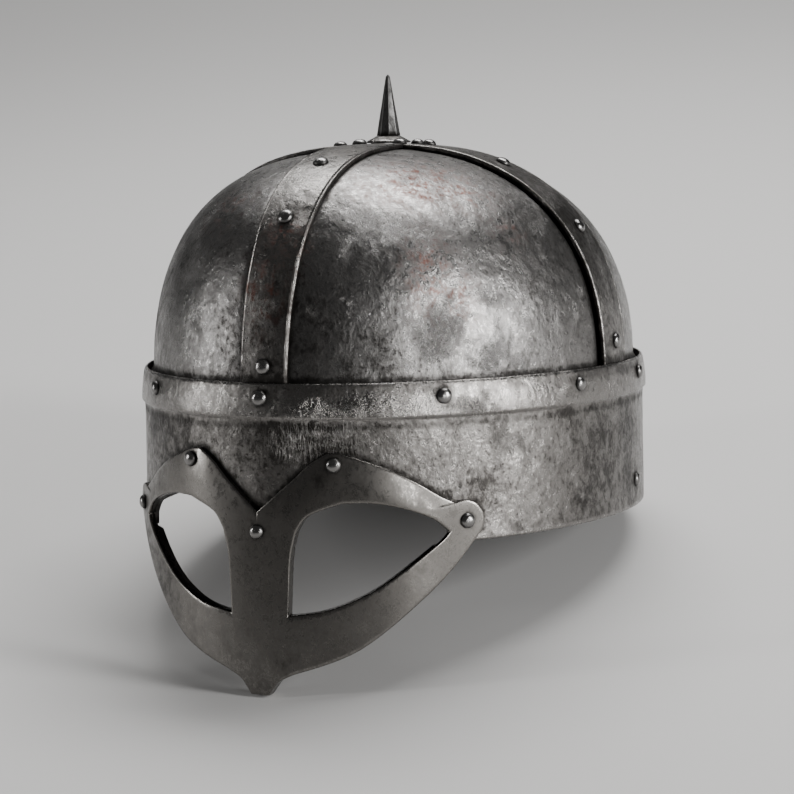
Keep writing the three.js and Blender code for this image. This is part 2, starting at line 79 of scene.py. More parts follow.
GUARD_DROP = 56.6
CREST_WIDENING = (0.15, 0.75)
SIDE_WIDENING = (0, 0.9)
RIM_REACH = 0.6

# Fineness of the tables and searches that the shapes are worked out with
ARC_OFFSET = 2.5
ARC_SAMPLES = 1201
LOWEST_RISE = -0.45
RISE_SAMPLES = 6000
FAR_REACH = 160.0
HALVINGS = 40
SIDE_ROUNDS = 10
CROWN_CAP = 0.12
SLOPE_ABOVE = 0.02

# The helmet leans back until it stands on its nasal tip and the back of its rim
REST_TILT = -math.atan2(GUARD_DROP, HALF_LENGTH + GUARD_INNER + HALF_LENGTH + RIM_REACH)
REST_SHIFT = np.array([0.0, -0.0463, 27.8454])
TILT_COS, TILT_SIN = math.cos(REST_TILT), math.sin(REST_TILT)
TILT = np.array([[1, 0, 0], [0, TILT_COS, -TILT_SIN], [0, TILT_SIN, TILT_COS]])


def to_world(points):
    """Metres in the row's frame from millimetres in the level frame."""
    return (points @ TILT.T + REST_SHIFT) * MM


def smooth_step(low, high, value):
    share = np.clip((value - low) / (high - low), 0, 1)
    return share * share * (3 - 2 * share)


def ramp(low, high, value):
    return np.clip((value - low) / (high - low), 0, 1)


def nearness(distance, reach):
    """1 at no distance, fading to 0 beyond the reach."""
    return np.exp(-(distance / reach) ** 2)


def table(columns, rows):
    """Rows of values as records that are read by the names of their columns."""
    return [dict(zip(columns, row)) for row in rows]


# Shapes shared by several pieces
def plan_points(angle, offset, height):
    x = (HALF_WIDTH + offset) * np.sin(angle) * (1 - EGG * np.cos(angle))
    y = -(HALF_LENGTH + offset) * np.cos(angle)
    return np.stack(np.broadcast_arrays(x, y, height), -1)


def plan_normal(angle):
    step = 1e-3
    along = plan_points(angle + step, 0, 0.0) - plan_points(angle - step, 0, 0.0)
    across = np.stack([along[..., 1], -along[..., 0], np.zeros_like(along[..., 0])], -1)
    return across / np.linalg.norm(across, axis=-1, keepdims=True)


ARC_ANGLES = np.linspace(0, math.pi, ARC_SAMPLES)
ARC_STEPS = np.diff(plan_points(ARC_ANGLES, ARC_OFFSET, 0.0), axis=0)
ARC_LENGTHS = np.concatenate([[0], np.cumsum(np.linalg.norm(ARC_STEPS, axis=1))])


def angle_at_arc(length):
    return np.sign(length) * np.interp(np.abs(length), ARC_LENGTHS, ARC_ANGLES)


def arc_at_angle(angle):
    return np.sign(angle) * np.interp(np.abs(angle), ARC_ANGLES, ARC_LENGTHS)


def bowl_profile(rise):
    crown = CROWN_FULLNESS * np.maximum(np.sin(rise), 0) ** CROWN_FULLNESS_POWER
    reach = BOWL_MEAN + BOWL_TAPER * np.cos(2 * rise) - BOWL_SQUARENESS * np.cos(4 * rise) + crown
    return reach * np.cos(rise) / HALF_WIDTH, BOWL_BASE + reach * np.sin(rise)


RIM_SCALE, _ = bowl_profile(0.0)
_, BOWL_TOP = bowl_profile(math.pi / 2)
RISES = np.linspace(LOWEST_RISE, math.pi / 2, RISE_SAMPLES)
RISE_HEIGHTS = bowl_profile(RISES)[1]


def bowl_shift(scale):
    share = scale / RIM_SCALE
    return (1 - share) * CROWN_SHIFT - FOREHEAD_FULLNESS * 4 * share * (1 - share)


def bowl_points(angle, rise):
    scale, height = bowl_profile(rise)
    x = scale * HALF_WIDTH * np.sin(angle) * (1 - EGG * np.cos(angle))
    y = -scale * BOWL_HALF_LENGTH * np.cos(angle) + bowl_shift(scale)
    return np.stack(np.broadcast_arrays(x, y, height), -1)


def bowl_level(points):
    """Negative inside the bowl's surface and positive outside it."""
    x, y, z = points[..., 0], points[..., 1], points[..., 2]
    scale, _ = bowl_profile(np.interp(z, RISE_HEIGHTS, RISES))
    scale = np.maximum(scale, 1e-5)
    cosine = -(y - bowl_shift(scale)) / scale / BOWL_HALF_LENGTH
    sine = x / scale / HALF_WIDTH / (1 - EGG * np.clip(cosine, -2, 2))
    level = sine * sine + cosine * cosine - 1
    return np.where(z >= BOWL_TOP, 1 + (z - BOWL_TOP) * SLOPE_ABOVE, level)


def bowl_normals(points):
    step = 0.05
    slopes = []
    for axis in np.eye(3) * step:
        slopes.append(bowl_level(points + axis) - bowl_level(points - axis))
    normals = np.stack(slopes, -1)
    normals[points[..., 2] > BOWL_TOP - CROWN_CAP] = (0, 0, 1)
    return normals / np.linalg.norm(normals, axis=-1, keepdims=True)


def bowl_hits(starts, directions):
    """Where lines from inside the bowl leave it."""
    low = np.zeros(starts.shape[:-1])
    high = np.full(starts.shape[:-1], FAR_REACH)
    for _ in range(HALVINGS):
        middle = (low + high) / 2
        inside = bowl_level(starts + directions * middle[..., None]) < 0
        low = np.where(inside, middle, low)
        high = np.where(inside, high, middle)
    return starts + directions * ((low + high) / 2)[..., None]


def crest_points(turn, across):
    turn, across = np.broadcast_arrays(turn, across)
    progress = np.clip(turn / (math.pi / 2), 0, 1)
    starts = np.stack([across + CREST_LEAN * np.sin(math.pi * progress),
                       np.full(turn.shape, CROWN_SHIFT), np.full(turn.shape, BOWL_BASE)], -1)
    directions = np.stack([np.zeros(turn.shape), -np.cos(turn), np.sin(turn)], -1)
    return bowl_hits(starts, directions)


def crest_half_width(turn):
    progress = np.minimum(turn, math.pi - turn) / (math.pi / 2)
    low, high = CREST_HALF_WIDTHS
    return low + (high - low) * ramp(*CREST_WIDENING, progress)


def side_points(side, turn, across):
    turn, across = np.broadcast_arrays(turn, across)
    points = np.zeros(turn.shape + (3,))
    for _ in range(SIDE_ROUNDS):
        middle = bowl_shift(np.abs(points[..., 0]) / HALF_WIDTH)
        starts = np.stack([np.zeros(turn.shape), middle + across, np.full(turn.shape, BOWL_BASE)], -1)
        directions = np.stack([side * np.cos(turn), np.zeros(turn.shape), np.sin(turn)], -1)
        points = bowl_hits(starts, directions)
    return points


def side_half_width(turn):
    low, high = SIDE_HALF_WIDTHS
    return low + (high - low) * ramp(*SIDE_WIDENING, turn / (math.pi / 2))


# Hammer work: smooth noise and single dents, in millimetres
def lattice_noise(points, size, seed):
    """Smooth noise from about -1 to 1, with features of the given size."""
    place = points / size + seed * 7.31
    cell = np.floor(place)
    part = place - cell
    part = part * part * (3 - 2 * part)
    total = np.zeros(points.shape[:-1])
    for corner in itertools.product((0, 1), repeat=3):
        corner = np.array(corner)
        spot = cell + corner
        mixed = np.sin(spot @ np.array([12.9898, 78.233, 37.719]) + seed) * 43758.5453
        value = 2 * (mixed - np.floor(mixed)) - 1
        weight = np.prod(np.where(corner == 1, part, 1 - part), axis=-1)
        total += value * weight
    return total


# Dents; the angle is in degrees from the face towards the wearer's left
DENT_COLUMNS = ("angle", "height", "radius", "depth")
BOWL_DENTS = table(DENT_COLUMNS, [
    (40, 84, 12, 0.5),
    (55, 104, 9, 0.35),
    (22, 106, 15, 0.45),
    (68, 76, 8, 0.35),
    (50, 126, 12, 0.3),
    (-30, 96, 14, 0.5),
    (-62, 82, 11, 0.45),
    (-120, 100, 16, 0.6),
    (-150, 78, 10, 0.45),
    (125, 92, 14, 0.55),
    (152, 112, 12, 0.5),
    (165, 80, 9, 0.4),
])
BROW_DENTS = table(DENT_COLUMNS, [
    (52, 33, 5, 0.3),
    (60, 29, 4, 0.3),
    (70, 22, 9, 0.35),
    (84, 30, 7, 0.3),
    (118, 24, 12, 0.5),
    (150, 34, 8, 0.35),
    (-110, 20, 10, 0.45),
    (-140, 32, 9, 0.4),
    (-75, 30, 7, 0.3),
])


def dent_places(dents, find):
    places = []
    for dent in dents:
        centre = find(math.radians(dent["angle"]), dent["height"])
        places.append((centre, dent["radius"], dent["depth"]))
    return places


def on_bowl(angle, height):
    return bowl_points(angle, np.interp(height, RISE_HEIGHTS, RISES))


def on_brow(angle, height):
    return plan_points(angle, 0.0, height)


BOWL_DENT_PLACES = dent_places(BOWL_DENTS, on_bowl)
BROW_DENT_PLACES = dent_places(BROW_DENTS, on_brow)
SWELL_SIZE = 42.0
RIPPLE_SIZE = 13.0
SMALL_RIPPLE_SIZE = 6.0
SMALL_RIPPLE_SHARE = 0.35
DENT_FALL = 2.2
BOWL_SWELL, BOWL_RIPPLE = 0.32, 0.09
BROW_SWELL, BROW_RIPPLE = 0.3, 0.06


def hammering(points, dents, swell, ripple):
    """How far the metal stands in or out of its true form."""
    out = swell * lattice_noise(points, SWELL_SIZE, 1) + ripple * lattice_noise(points, RIPPLE_SIZE, 2)
    out += SMALL_RIPPLE_SHARE * ripple * lattice_noise(points, SMALL_RIPPLE_SIZE, 3)
    for centre, radius, depth in dents:
        gap = np.linalg.norm(points - centre, axis=-1) / radius
        out -= depth * np.exp(-gap * gap * DENT_FALL)
    return out


def bowl_hammering(points):
    return hammering(points, BOWL_DENT_PLACES, BOWL_SWELL, BOWL_RIPPLE)


def brow_hammering(points):
    return hammering(points, BROW_DENT_PLACES, BROW_SWELL, BROW_RIPPLE)


# Mesh making
def new_piece(node, vertices, faces, material, paint):
    """A mesh object from level-frame vertices that stands for a node of the frame."""
    name = f"{node}_fine"
    mesh = bpy.data.meshes.new(name)
    mesh.from_pydata(to_world(vertices).tolist(), [], faces)
    mesh.validate()
    for key, values in paint.items():
        layer = mesh.attributes.new(key, "FLOAT", "POINT")
        layer.data.foreach_set("value", np.clip(values, 0, 1).astype(np.float32))
    mesh.shade_smooth()
    mesh.materials.append(material)
    piece = bpy.data.objects.new(name, mesh)
    bpy.context.scene.collection.objects.link(piece)
    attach(piece, "root")
    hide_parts(node)
    return piece


def grid_faces(rows, columns, start=0, wrap=False, flip=False):
    """Four-sided faces of a grid of points that are numbered row by row."""
    faces = []
    last = columns if wrap else columns - 1
    for r in range(rows - 1):
        for c in range(last):
            a = start + r * columns + c
            b = start + r * columns + (c + 1) % columns
            d = start + (r + 1) * columns + c
            e = start + (r + 1) * columns + (c + 1) % columns
            faces.append((a, d, e, b) if flip else (a, b, e, d))
    return faces


def loft(sections, wrap=False):
    """Faces round a row of closed sections: stations by points of the section."""
    stations, count = sections.shape[:2]
    faces = grid_faces(stations, count, wrap=True)
    if wrap:
        for c in range(count):
            a = (stations - 1) * count + c
            b = (stations - 1) * count + (c + 1) % count
            faces.append((a, b, (c + 1) % count, c))
    else:
        faces.append(tuple(range(count - 1, -1, -1)))
        faces.append(tuple((stations - 1) * count + c for c in range(count)))
    return sections.reshape(-1, 3), faces


def outward(vertices, faces, centre):
    """The faces turned so that the piece's outer side looks away from the centre."""
    quads = np.array([face for face in faces if len(face) == 4])
    a, b, c = (vertices[quads[:, corner]] for corner in range(3))
    volume = np.einsum("ij,ij->i", np.cross(b - a, c - a), (a + c) / 2 - centre).sum()
    return faces if volume > 0 else [tuple(reversed(face)) for face in faces]


def stand_in(node, vertices, faces, centre, material, paint):
    """The fine piece of a node, with its faces turned away from the given centre."""
    return new_piece(node, vertices, outward(vertices, faces, centre), material, paint)


CENTRE = np.array([0.0, 0.0, 60.0])

# Rivets, at the same places as in the frame: the seat, the outward direction, and the heights of the
# head's foot and of the inner sheet's far side along it
LAPPED_DEPTH = JOGGLE_DEPTH + PLATE_THICKNESS
BAND_TOP = BAND_GAP + BAND_THICKNESS
PLATE_IN_PLAN = (RIM_SCALE - 1) * HALF_WIDTH
HEAD_SINK = 0.12
RIVETS = []


def add_rivet(name, seat, direction, top, bottom):
    RIVETS.append({"name": name, "seat": seat, "out": direction, "top": top - HEAD_SINK, "bottom": bottom})


def plan_rivet(name, angle, height, top, bottom):
    add_rivet(name, plan_points(angle, 0.0, height), plan_normal(np.array(angle)), top, bottom)


def bowl_rivet(name, point, top, bottom):
    add_rivet(name, point, bowl_normals(point), top, bottom)


BROW_RIVET_ANGLES = (0, 39.9, 73, 100.6, 135, 180, -135, -100.6, -70, -36.5)
BROW_RIVET_HEIGHT = 55.2
BROW_RIVET_TOP = 1.0
LAPPED_BROW_EXTRA = 1.2
RIM_RIVET_ANGLES = (99.2, -99.2)
RIM_RIVET_HEIGHT = 11.0
RIM_RIVET_TOP = 0.45
INSIDE_BAND = -1.6
EAR_CENTRE = (80.6, 8.2)
GUARD_RIVETS = ((0, 5.4), (30, 30.8), (-32, 30.8), EAR_CENTRE, (-EAR_CENTRE[0], EAR_CENTRE[1]))
CREST_RIVET_TURNS = (3.3, 32, 50, 130, 148, 176.7)
SIDE_RIVET_TURNS = (5.6, 33.5, 56.5, 77)
CROWN_REACH = 9.0
CROWN_RIVET_EXTRA = 0.7
SIDES = ((1, "left"), (-1, "right"))


def place_brow_rivets():
    for number, degrees in enumerate(BROW_RIVET_ANGLES, 1):
        depth = PLATE_IN_PLAN + HEM_FLARE - PLATE_THICKNESS
        if degrees in (0, 180):
            depth = PLATE_IN_PLAN - LAPPED_DEPTH - LAPPED_BROW_EXTRA
        plan_rivet(f"brow_rivet_{number}", math.radians(degrees), BROW_RIVET_HEIGHT, BROW_RIVET_TOP, depth)
    for number, degrees in enumerate(RIM_RIVET_ANGLES, 1):
        plan_rivet(f"rim_rivet_{number}", math.radians(degrees), RIM_RIVET_HEIGHT, RIM_RIVET_TOP, INSIDE_BAND)


def place_guard_rivets():
    for number, (along, height) in enumerate(GUARD_RIVETS, 1):
        angle = angle_at_arc(along + GUARD_SHIFT)
        plan_rivet(f"guard_rivet_{number}", angle, height, GUARD_OUTER, INSIDE_BAND)


def place_band_rivets():
    for number, degrees in enumerate(CREST_RIVET_TURNS, 1):
        spot = crest_points(np.array(math.radians(degrees)), np.array(0.0))
        bowl_rivet(f"crest_rivet_{number}", spot, BAND_TOP, -LAPPED_DEPTH)
    for side, word in SIDES:
        for number, degrees in enumerate(SIDE_RIVET_TURNS, 1):
            spot = side_points(side, np.array(math.radians(degrees)), np.array(0.0))
            bowl_rivet(f"side_rivet_{word}_{number}", spot, BAND_TOP, -LAPPED_DEPTH)


def place_crown_rivets():
    for number, (sideways, backways) in enumerate(((1, -1), (1, 1), (-1, 1), (-1, -1)), 1):
        start = np.array([sideways * CROWN_REACH, CROWN_SHIFT + backways * CROWN_REACH, BOWL_BASE])
        spot = bowl_hits(start, np.array([0.0, 0.0, 1.0]))
        bowl_rivet(f"crown_rivet_{number}", spot, BAND_TOP, -PLATE_THICKNESS - CROWN_RIVET_EXTRA)


place_brow_rivets()
place_guard_rivets()
place_band_rivets()
place_crown_rivets()
RIVET_SEATS = np.array([rivet["seat"] for rivet in RIVETS])
RIVET_FOOT = 3.2


def near_rivets(points, reach):
    """1 beside a rivet's foot, fading to 0 with distance."""
    flat = points.reshape(-1, 3)
    gap = np.full(len(flat), np.inf)
    for seat in RIVET_SEATS:
        gap = np.minimum(gap, np.linalg.norm(flat - seat, axis=1))
    return nearness(np.maximum(gap - RIVET_FOOT, 0), reach).reshape(points.shape[:-1])


# Stains, some of them painted shade, rust, wrinkled places, and rubbed places with painted highlight: each a
# soft spot with its centre and its reach across and up
SPOT_COLUMNS = ("x", "y", "z", "wide", "tall", "strength")


def blob(points, spots):
    out = np.zeros(points.shape[:-1])
    for spot in spots:
        centre = np.array([spot["x"], spot["y"], spot["z"]])
        gap = (points - centre) / np.array([spot["wide"], spot["wide"], spot["tall"]])
        out = np.maximum(out, spot["strength"] * np.exp(-np.sum(gap * gap, axis=-1)))
    return out


# Real stains, and painted shade: many rows along both flanks (x beyond about 75) and on the guard's cheek
# darken edges that the lamps and floor leave bright
STAINS_AND_SHADE = table(SPOT_COLUMNS, [
    (14, -113, 78, 15, 24, 0.9),
    (26, -109, 90, 12, 16, 0.75),
    (43, -103, 72, 9, 13, 1.0),
    (32, -106, 66, 14, 8, 0.7),
    (2, -118, 84, 12, 16, 0.7),
    (-14, -112, 84, 9, 22, 0.75),
    (-22, -96, 112, 14, 14, 0.65),
    (-44, -86, 104, 16, 16, 0.5),
    (86, -34, 106, 10, 20, 0.6),
    (76, -30, 124, 10, 8, 0.65),
    (92, -10, 84, 9, 20, 0.5),
    (10, -119, 40, 30, 12, 0.65),
    (94, -42, 44, 8, 9, 0.8),
    (98, -18, 36, 12, 18, 0.55),
    (99, 4, 14, 8, 10, 0.7),
    (74, -78, 20, 9, 5, 0.9),
    (-40, -106, 52, 6, 7, 0.9),
    (26, -116, 55, 13, 6, 0.4),
    (22, -118, 24, 6, 7, 0.8),
    (98, -22, 28, 20, 34, 0.9),
    (98, -24, 54, 16, 9, 0.8),
    (96, -8, 88, 16, 34, 0.9),
    (84, -52, 96, 10, 26, 0.5),
    (-54, -98, 38, 30, 11, 1.0),
    (-74, -74, 86, 16, 30, 0.8),
    (-52, -102, -22, 28, 20, 1.0),
    (6, -112, 96, 9, 12, 0.8),
    (-88, -50, 92, 14, 44, 0.9),
    (100, 6, 30, 14, 34, 0.8),
    (98, 4, 56, 18, 10, 1.0),
    (82, -6, 122, 14, 22, 1.0),
    (92, 4, 100, 12, 26, 1.0),
    (62, -8, 136, 14, 10, 0.7),
    (-92, -56, -2, 14, 24, 1.0),
    (-60, 60, 110, 24, 22, 0.7),
    (40, 96, 86, 20, 20, 0.8),
    (-30, 108, 70, 18, 14, 0.7),
    (70, 66, 108, 18, 14, 0.6),
    (-90, -20, 80, 14, 18, 0.7),
    (60, 104, 30, 20, 12, 0.7),
    (-70, 84, 34, 22, 14, 0.7),
    (-98, -10, 30, 14, 16, 0.6),
])
RUST = table(SPOT_COLUMNS, [
    (42, -62, 134, 20, 10, 1.0),
    (54, -52, 130, 12, 8, 0.8),
    (31, -72, 132, 12, 8, 0.7),
    (55, -86, 102, 9, 16, 0.95),
    (64, -80, 92, 7, 9, 0.7),
    (8, -104, 108, 6, 9, 0.6),
    (2, -101, 115, 6, 6, 1.0),
    (-2, -113, 96, 8, 14, 0.6),
    (74, -50, 118, 8, 10, 0.5),
    (-30, -80, 124, 14, 8, 0.5),
    (20, 90, 118, 16, 12, 0.8),
    (-62, 70, 90, 14, 14, 0.7),
    (76, 60, 80, 12, 14, 0.6),
    (-84, -30, 100, 12, 12, 0.6),
    (-50, 100, 40, 16, 10, 0.6),
])
SCARS = table(SPOT_COLUMNS, [
    (58, -92, 76, 12, 12, 1.0),
    (74, -72, 70, 14, 10, 0.8),
    (36, -88, 112, 16, 10, 0.8),
    (76, -64, 86, 10, 12, 0.7),
    (82, -74, 34, 12, 9, 1.0),
    (70, -84, 52, 16, 7, 0.8),
    (86, -66, 8, 16, 6, 0.6),
    (-36, -104, 84, 8, 14, 0.5),
    (6, -100, 118, 9, 10, 0.6),
    (-60, 70, 90, 20, 16, 0.8),
    (60, 84, 60, 22, 14, 0.8),
    (-92, 20, 30, 16, 12, 0.8),
])
# Places on the plates painted lighter, cleaner and glossier: handling wear and painted highlight together
POLISH_AND_HIGHLIGHT = table(SPOT_COLUMNS, [
    (58, -92, 82, 16, 18, 0.35),
    (70, -76, 78, 13, 18, 0.35),
    (60, -84, 98, 13, 13, 0.3),
    (34, -82, 122, 16, 10, 0.35),
    (-44, -100, 84, 9, 14, 0.5),
    (-60, 86, 92, 18, 16, 0.45),
    (62, 78, 96, 18, 16, 0.45),
])
# Painted highlight on the crest band's top, at the front and the back, together with its wear
BAND_POLISH_AND_HIGHLIGHT = table(SPOT_COLUMNS, [
    (0, -76, 130, 14, 15, 1.0),
    (0, 84, 120, 16, 16, 0.7),
])


def paint_common(points):
    return {"stain_and_shade": blob(points, STAINS_AND_SHADE), "rust": blob(points, RUST), "scar": blob(points, SCARS)}


def merged(*paints):
    return {key: np.concatenate([paint[key].ravel() for paint in paints]) for key in paints[0]}


# Node materials
class Tree:
    """A material's nodes, added one by one."""

    def __init__(self, name):
        self.material = bpy.data.materials.new(name)
        self.material.use_nodes = True
        self.nodes = self.material.node_tree.nodes
        self.links = self.material.node_tree.links
        self.shader = self.nodes["Principled BSDF"]

    def add(self, kind, sockets=None, **settings):
        node = self.nodes.new(kind)
        for key, value in settings.items():
            setattr(node, key, value)
        for key, value in (sockets or {}).items():
            self.put(node.inputs[key], value)
        return node

    def put(self, socket, value):
        if isinstance(value, bpy.types.NodeSocket):
            self.links.new(value, socket)
        else:
            socket.default_value = value

    def position(self, stretch=(1, 1, 1), turn=(0, 0, 0)):
        coordinates = self.add("ShaderNodeTexCoord").outputs["Object"]
        sockets = {"Vector": coordinates, "Scale": stretch, "Rotation": turn}
        return self.add("ShaderNodeMapping", sockets).outputs["Vector"]

    def noise(self, vector, scale, detail=6.0, roughness=0.6, distortion=0.0):
        sockets = {"Vector": vector, "Scale": scale, "Detail": detail, "Roughness": roughness,
                   "Distortion": distortion}
        return self.add("ShaderNodeTexNoise", sockets).outputs["Fac"]

    def cells(self, vector, scale, feature="F1"):
        node = self.add("ShaderNodeTexVoronoi", {"Vector": vector, "Scale": scale}, feature=feature)
        return node.outputs["Distance"]

    def span(self, value, low, high, to_low=0.0, to_high=1.0):
        sockets = {"Value": value, "From Min": low, "From Max": high, "To Min": to_low, "To Max": to_high}
        return self.add("ShaderNodeMapRange", sockets, interpolation_type="SMOOTHSTEP").outputs["Result"]

    def math(self, operation, first, second=0.0, clamp=False):
        node = self.add("ShaderNodeMath", operation=operation, use_clamp=clamp)
        self.put(node.inputs[0], first)
        self.put(node.inputs[1], second)
        return node.outputs["Value"]

    def mix(self, share, first, second):
        node = self.add("ShaderNodeMix", data_type="RGBA", blend_type="MIX")
        self.put(node.inputs["Factor"], share)
        for key, value in (("A", first), ("B", second)):
            socket = next(s for s in node.inputs if s.name == key and s.type == "RGBA")
            self.put(socket, value)
        return next(s for s in node.outputs if s.type == "RGBA")

    def total(self, maps, weights):
        """The sum of the named maps, each times its weight."""
        result = 0.0
        for name, weight in weights.items():
            result = self.math("ADD", result, self.math("MULTIPLY", maps[name], weight))
        return result

    def attribute(self, name):
        return self.add("ShaderNodeAttribute", attribute_name=name).outputs["Fac"]

    def bump(self, height, distance, strength=1.0, normal=None):
        sockets = {"Height": height, "Distance": distance, "Strength": strength}
        if normal is not None:
            sockets["Normal"] = normal
        return self.add("ShaderNodeBump", sockets).outputs["Normal"]


SCRATCHES = table(("scale", "turn", "width"), [
    (620, (0.5, 0.3, 0.2), 0.012),
    (520, (-0.9, 0.4, 1.1), 0.012),
    (700, (1.5, 0.2, -0.6), 0.01),
])
SCRATCH_STRETCH = 0.03
SCRATCH_PATCH_SCALE = 34
SCRATCH_PATCH_SPAN = (0.5, 0.64)


def scratches(tree, scale, turn, width):
    """Thin broken lines along one direction."""
    along = tree.position(stretch=(1, 1, SCRATCH_STRETCH), turn=turn)
    lines = tree.noise(along, scale, 2.0, 0.5, 0.4)
    thin = tree.math("ABSOLUTE", tree.math("SUBTRACT", lines, 0.5))
    lines = tree.span(thin, 0.0, width, 1.0, 0.0)
    patches = tree.span(tree.noise(tree.position(), SCRATCH_PATCH_SCALE, 3.0), *SCRATCH_PATCH_SPAN)
    return tree.math("MULTIPLY", lines, patches)


WRINKLE_CELLS = 230
WRINKLE_WIDTH = 0.16
WRINKLE_BEND = 0.003
WRINKLE_BEND_SCALE = 150
WRINKLE_PATCH_SCALE = 70
WRINKLE_PATCH_SPAN = (0.5, 0.95)
SCAR_PUSH = 0.26


def crackle(tree):
    """Wrinkles and small dents in patches, strongest where the scars are painted."""
    place = tree.position(stretch=(1, 1, 0.7))
    sockets = {"Vector": place, "Scale": WRINKLE_BEND_SCALE, "Detail": 4.0}
    bend = tree.add("ShaderNodeTexNoise", sockets).outputs["Color"]
    bent = tree.add("ShaderNodeMix", {"Factor": WRINKLE_BEND}, data_type="VECTOR")
    vector_a, vector_b = [s for s in bent.inputs if s.type == "VECTOR"][:2]
    tree.put(vector_a, place)
    tree.put(vector_b, bend)
    vector = next(s for s in bent.outputs if s.type == "VECTOR")
    lines = tree.span(tree.cells(vector, WRINKLE_CELLS, "DISTANCE_TO_EDGE"), 0.0, WRINKLE_WIDTH)
    scar = tree.math("MULTIPLY", tree.attribute("scar"), SCAR_PUSH)
    patch = tree.math("ADD", tree.noise(tree.position(), WRINKLE_PATCH_SCALE, 6.0, 0.7), scar)
    return tree.math("MULTIPLY", tree.math("SUBTRACT", lines, 1.0), tree.span(patch, *WRINKLE_PATCH_SPAN))


def times(colour, factor):
    return tuple(min(c * factor, 1) for c in colour[:3]) + (1,)


# Noises by their scale per metre; a streaky one is stretched upwards
NOISE_SETTINGS = ("scale", "detail", "roughness", "distortion")
NOISES = table(("name", "streaky") + NOISE_SETTINGS, [
    ("broad", False, 17, 5.0, 0.6, 0.0),
    ("blotch", True, 105, 12.0, 0.74, 0.6),
    ("mottle", True, 230, 12.0, 0.78, 0.3),
    ("fine", True, 520, 6.0, 0.7, 0.0),
    ("grain", False, 1500, 3.0, 0.6, 0.0),
    ("relief", True, 170, 6.0, 0.64, 0.3),
])
STREAK_TURN = 0.7
PAINTED = ("stain_and_shade", "grime_and_shade", "wear_and_highlight", "rust")
# How much each map counts in the tone of bare metal, in where stains and painted shade lie, and in the
# roughness; wear lightens the metal as a painted highlight
TONE_WEIGHTS = {"mottle": 0.6, "fine": 0.4, "wear_and_highlight": -0.14}
STAIN_AND_SHADE_WEIGHTS = {"broad": 0.22, "blotch": 0.45, "mottle": 0.43, "stain_and_shade": 0.13, "grime_and_shade": 0.2, "wear_and_highlight": -0.2}
ROUGHNESS_WEIGHTS = {"gloss": 1.0, "fine": 0.3, "haze": 0.12, "wear_and_highlight": -0.07, "dirt_and_shade": 0.25, "rusty": 0.3}
TONE_SPAN = (0.38, 0.62)
HAZE_SPAN = (0.48, 0.72)
CORE_SPAN = (0.61, 0.72)
SPECK_PUSH = 0.08
SPECK_SPAN = (0.6, 0.67)
RUST_CLOUD_SPAN = (0.46, 0.58)
RUST_SPECK_SPAN = (0.4, 0.56)
GLOSS_SPAN = (0.35, 0.65)
LEAST_ROUGHNESS = 0.2
HOLE_CELLS = 420
HOLE_SPAN = (0.05, 0.3)
HOLE_PATCH_SPAN = (0.45, 0.6)
RUST_TINT = (0.175, 0.066, 0.048, 1)
DIRT_AND_SHADE_TINT = (0.010, 0.009, 0.008, 1)


def noise_maps(tree, streak):
    place = tree.position()
    streaky = tree.position(stretch=(1, 1, streak), turn=(0, 0, STREAK_TURN))
    maps = {}
    for row in NOISES:
        vector = streaky if row["streaky"] else place
        maps[row["name"]] = tree.noise(vector, *[row[key] for key in NOISE_SETTINGS])
    for name in PAINTED:
        maps[name] = tree.attribute(name)
    holes = tree.span(tree.cells(place, HOLE_CELLS), *HOLE_SPAN)
    maps["holes"] = tree.math("MULTIPLY", holes, tree.span(maps["blotch"], *HOLE_PATCH_SPAN))
    return maps


def add_stain_maps(tree, maps, stained):
    """Brown-black stains and painted shade: fractal blotches, pushed by the painted stain, grime and wear
    maps.
    """
    field = tree.total(maps, STAIN_AND_SHADE_WEIGHTS)
    maps["haze"] = tree.span(field, HAZE_SPAN[0] - stained, HAZE_SPAN[1] - stained)
    maps["core"] = tree.span(field, CORE_SPAN[0] - stained, CORE_SPAN[1] - stained)
    pushed = tree.math("ADD", maps["fine"], tree.math("MULTIPLY", maps["haze"], SPECK_PUSH))
    maps["specks"] = tree.span(pushed, *SPECK_SPAN)
    clouds = tree.math("MULTIPLY", maps["rust"], tree.span(maps["mottle"], *RUST_CLOUD_SPAN))
    maps["rusty"] = tree.math("MULTIPLY", clouds, tree.span(maps["fine"], *RUST_SPECK_SPAN))
    # The darkest layer: grime and painted shade in creases, round rivets, on band walls and on inner faces
    maps["dirt_and_shade"] = tree.math("MULTIPLY", maps["grime_and_shade"], tree.span(maps["fine"], 0.25, 0.6, 0.6, 1.0))


def add_cut_map(tree, maps, scarred):
    cut = 0.0
    for row in SCRATCHES:
        cut = tree.math("MAXIMUM", cut, scratches(tree, row["scale"], row["turn"], row["width"]))
    maps["cut"] = tree.math("MULTIPLY", cut, scarred)


def iron_colour(tree, maps, light, mid, dark, speckle):
    """Bare metal wanders between its light and middle tone, and the rest lies over it in layers."""
    tone = tree.total(maps, TONE_WEIGHTS)
    colour = tree.mix(tree.span(tone, *TONE_SPAN), light, mid)
    # The haze, core and dirt layers carry painted shade as well as stains and grime
    layers = (("haze", 0.62, dark), ("core", 0.7, times(dark, 0.45)),
              ("specks", 0.7 * speckle, times(dark, 0.5)), ("rusty", 0.9, RUST_TINT),
              ("dirt_and_shade", 0.85, DIRT_AND_SHADE_TINT), ("cut", 0.35, times(light, 1.6)))
    for name, share, tint in layers:
        colour = tree.mix(tree.math("MULTIPLY", maps[name], share), colour, tint)
    return colour


def iron_roughness(tree, maps, rough):
    maps["gloss"] = tree.span(maps["mottle"], *GLOSS_SPAN, *rough)
    roughness = tree.total(maps, ROUGHNESS_WEIGHTS)
    roughness = tree.math("SUBTRACT", roughness, ROUGHNESS_WEIGHTS["fine"] / 2)
    return tree.math("MAXIMUM", roughness, LEAST_ROUGHNESS, clamp=True)


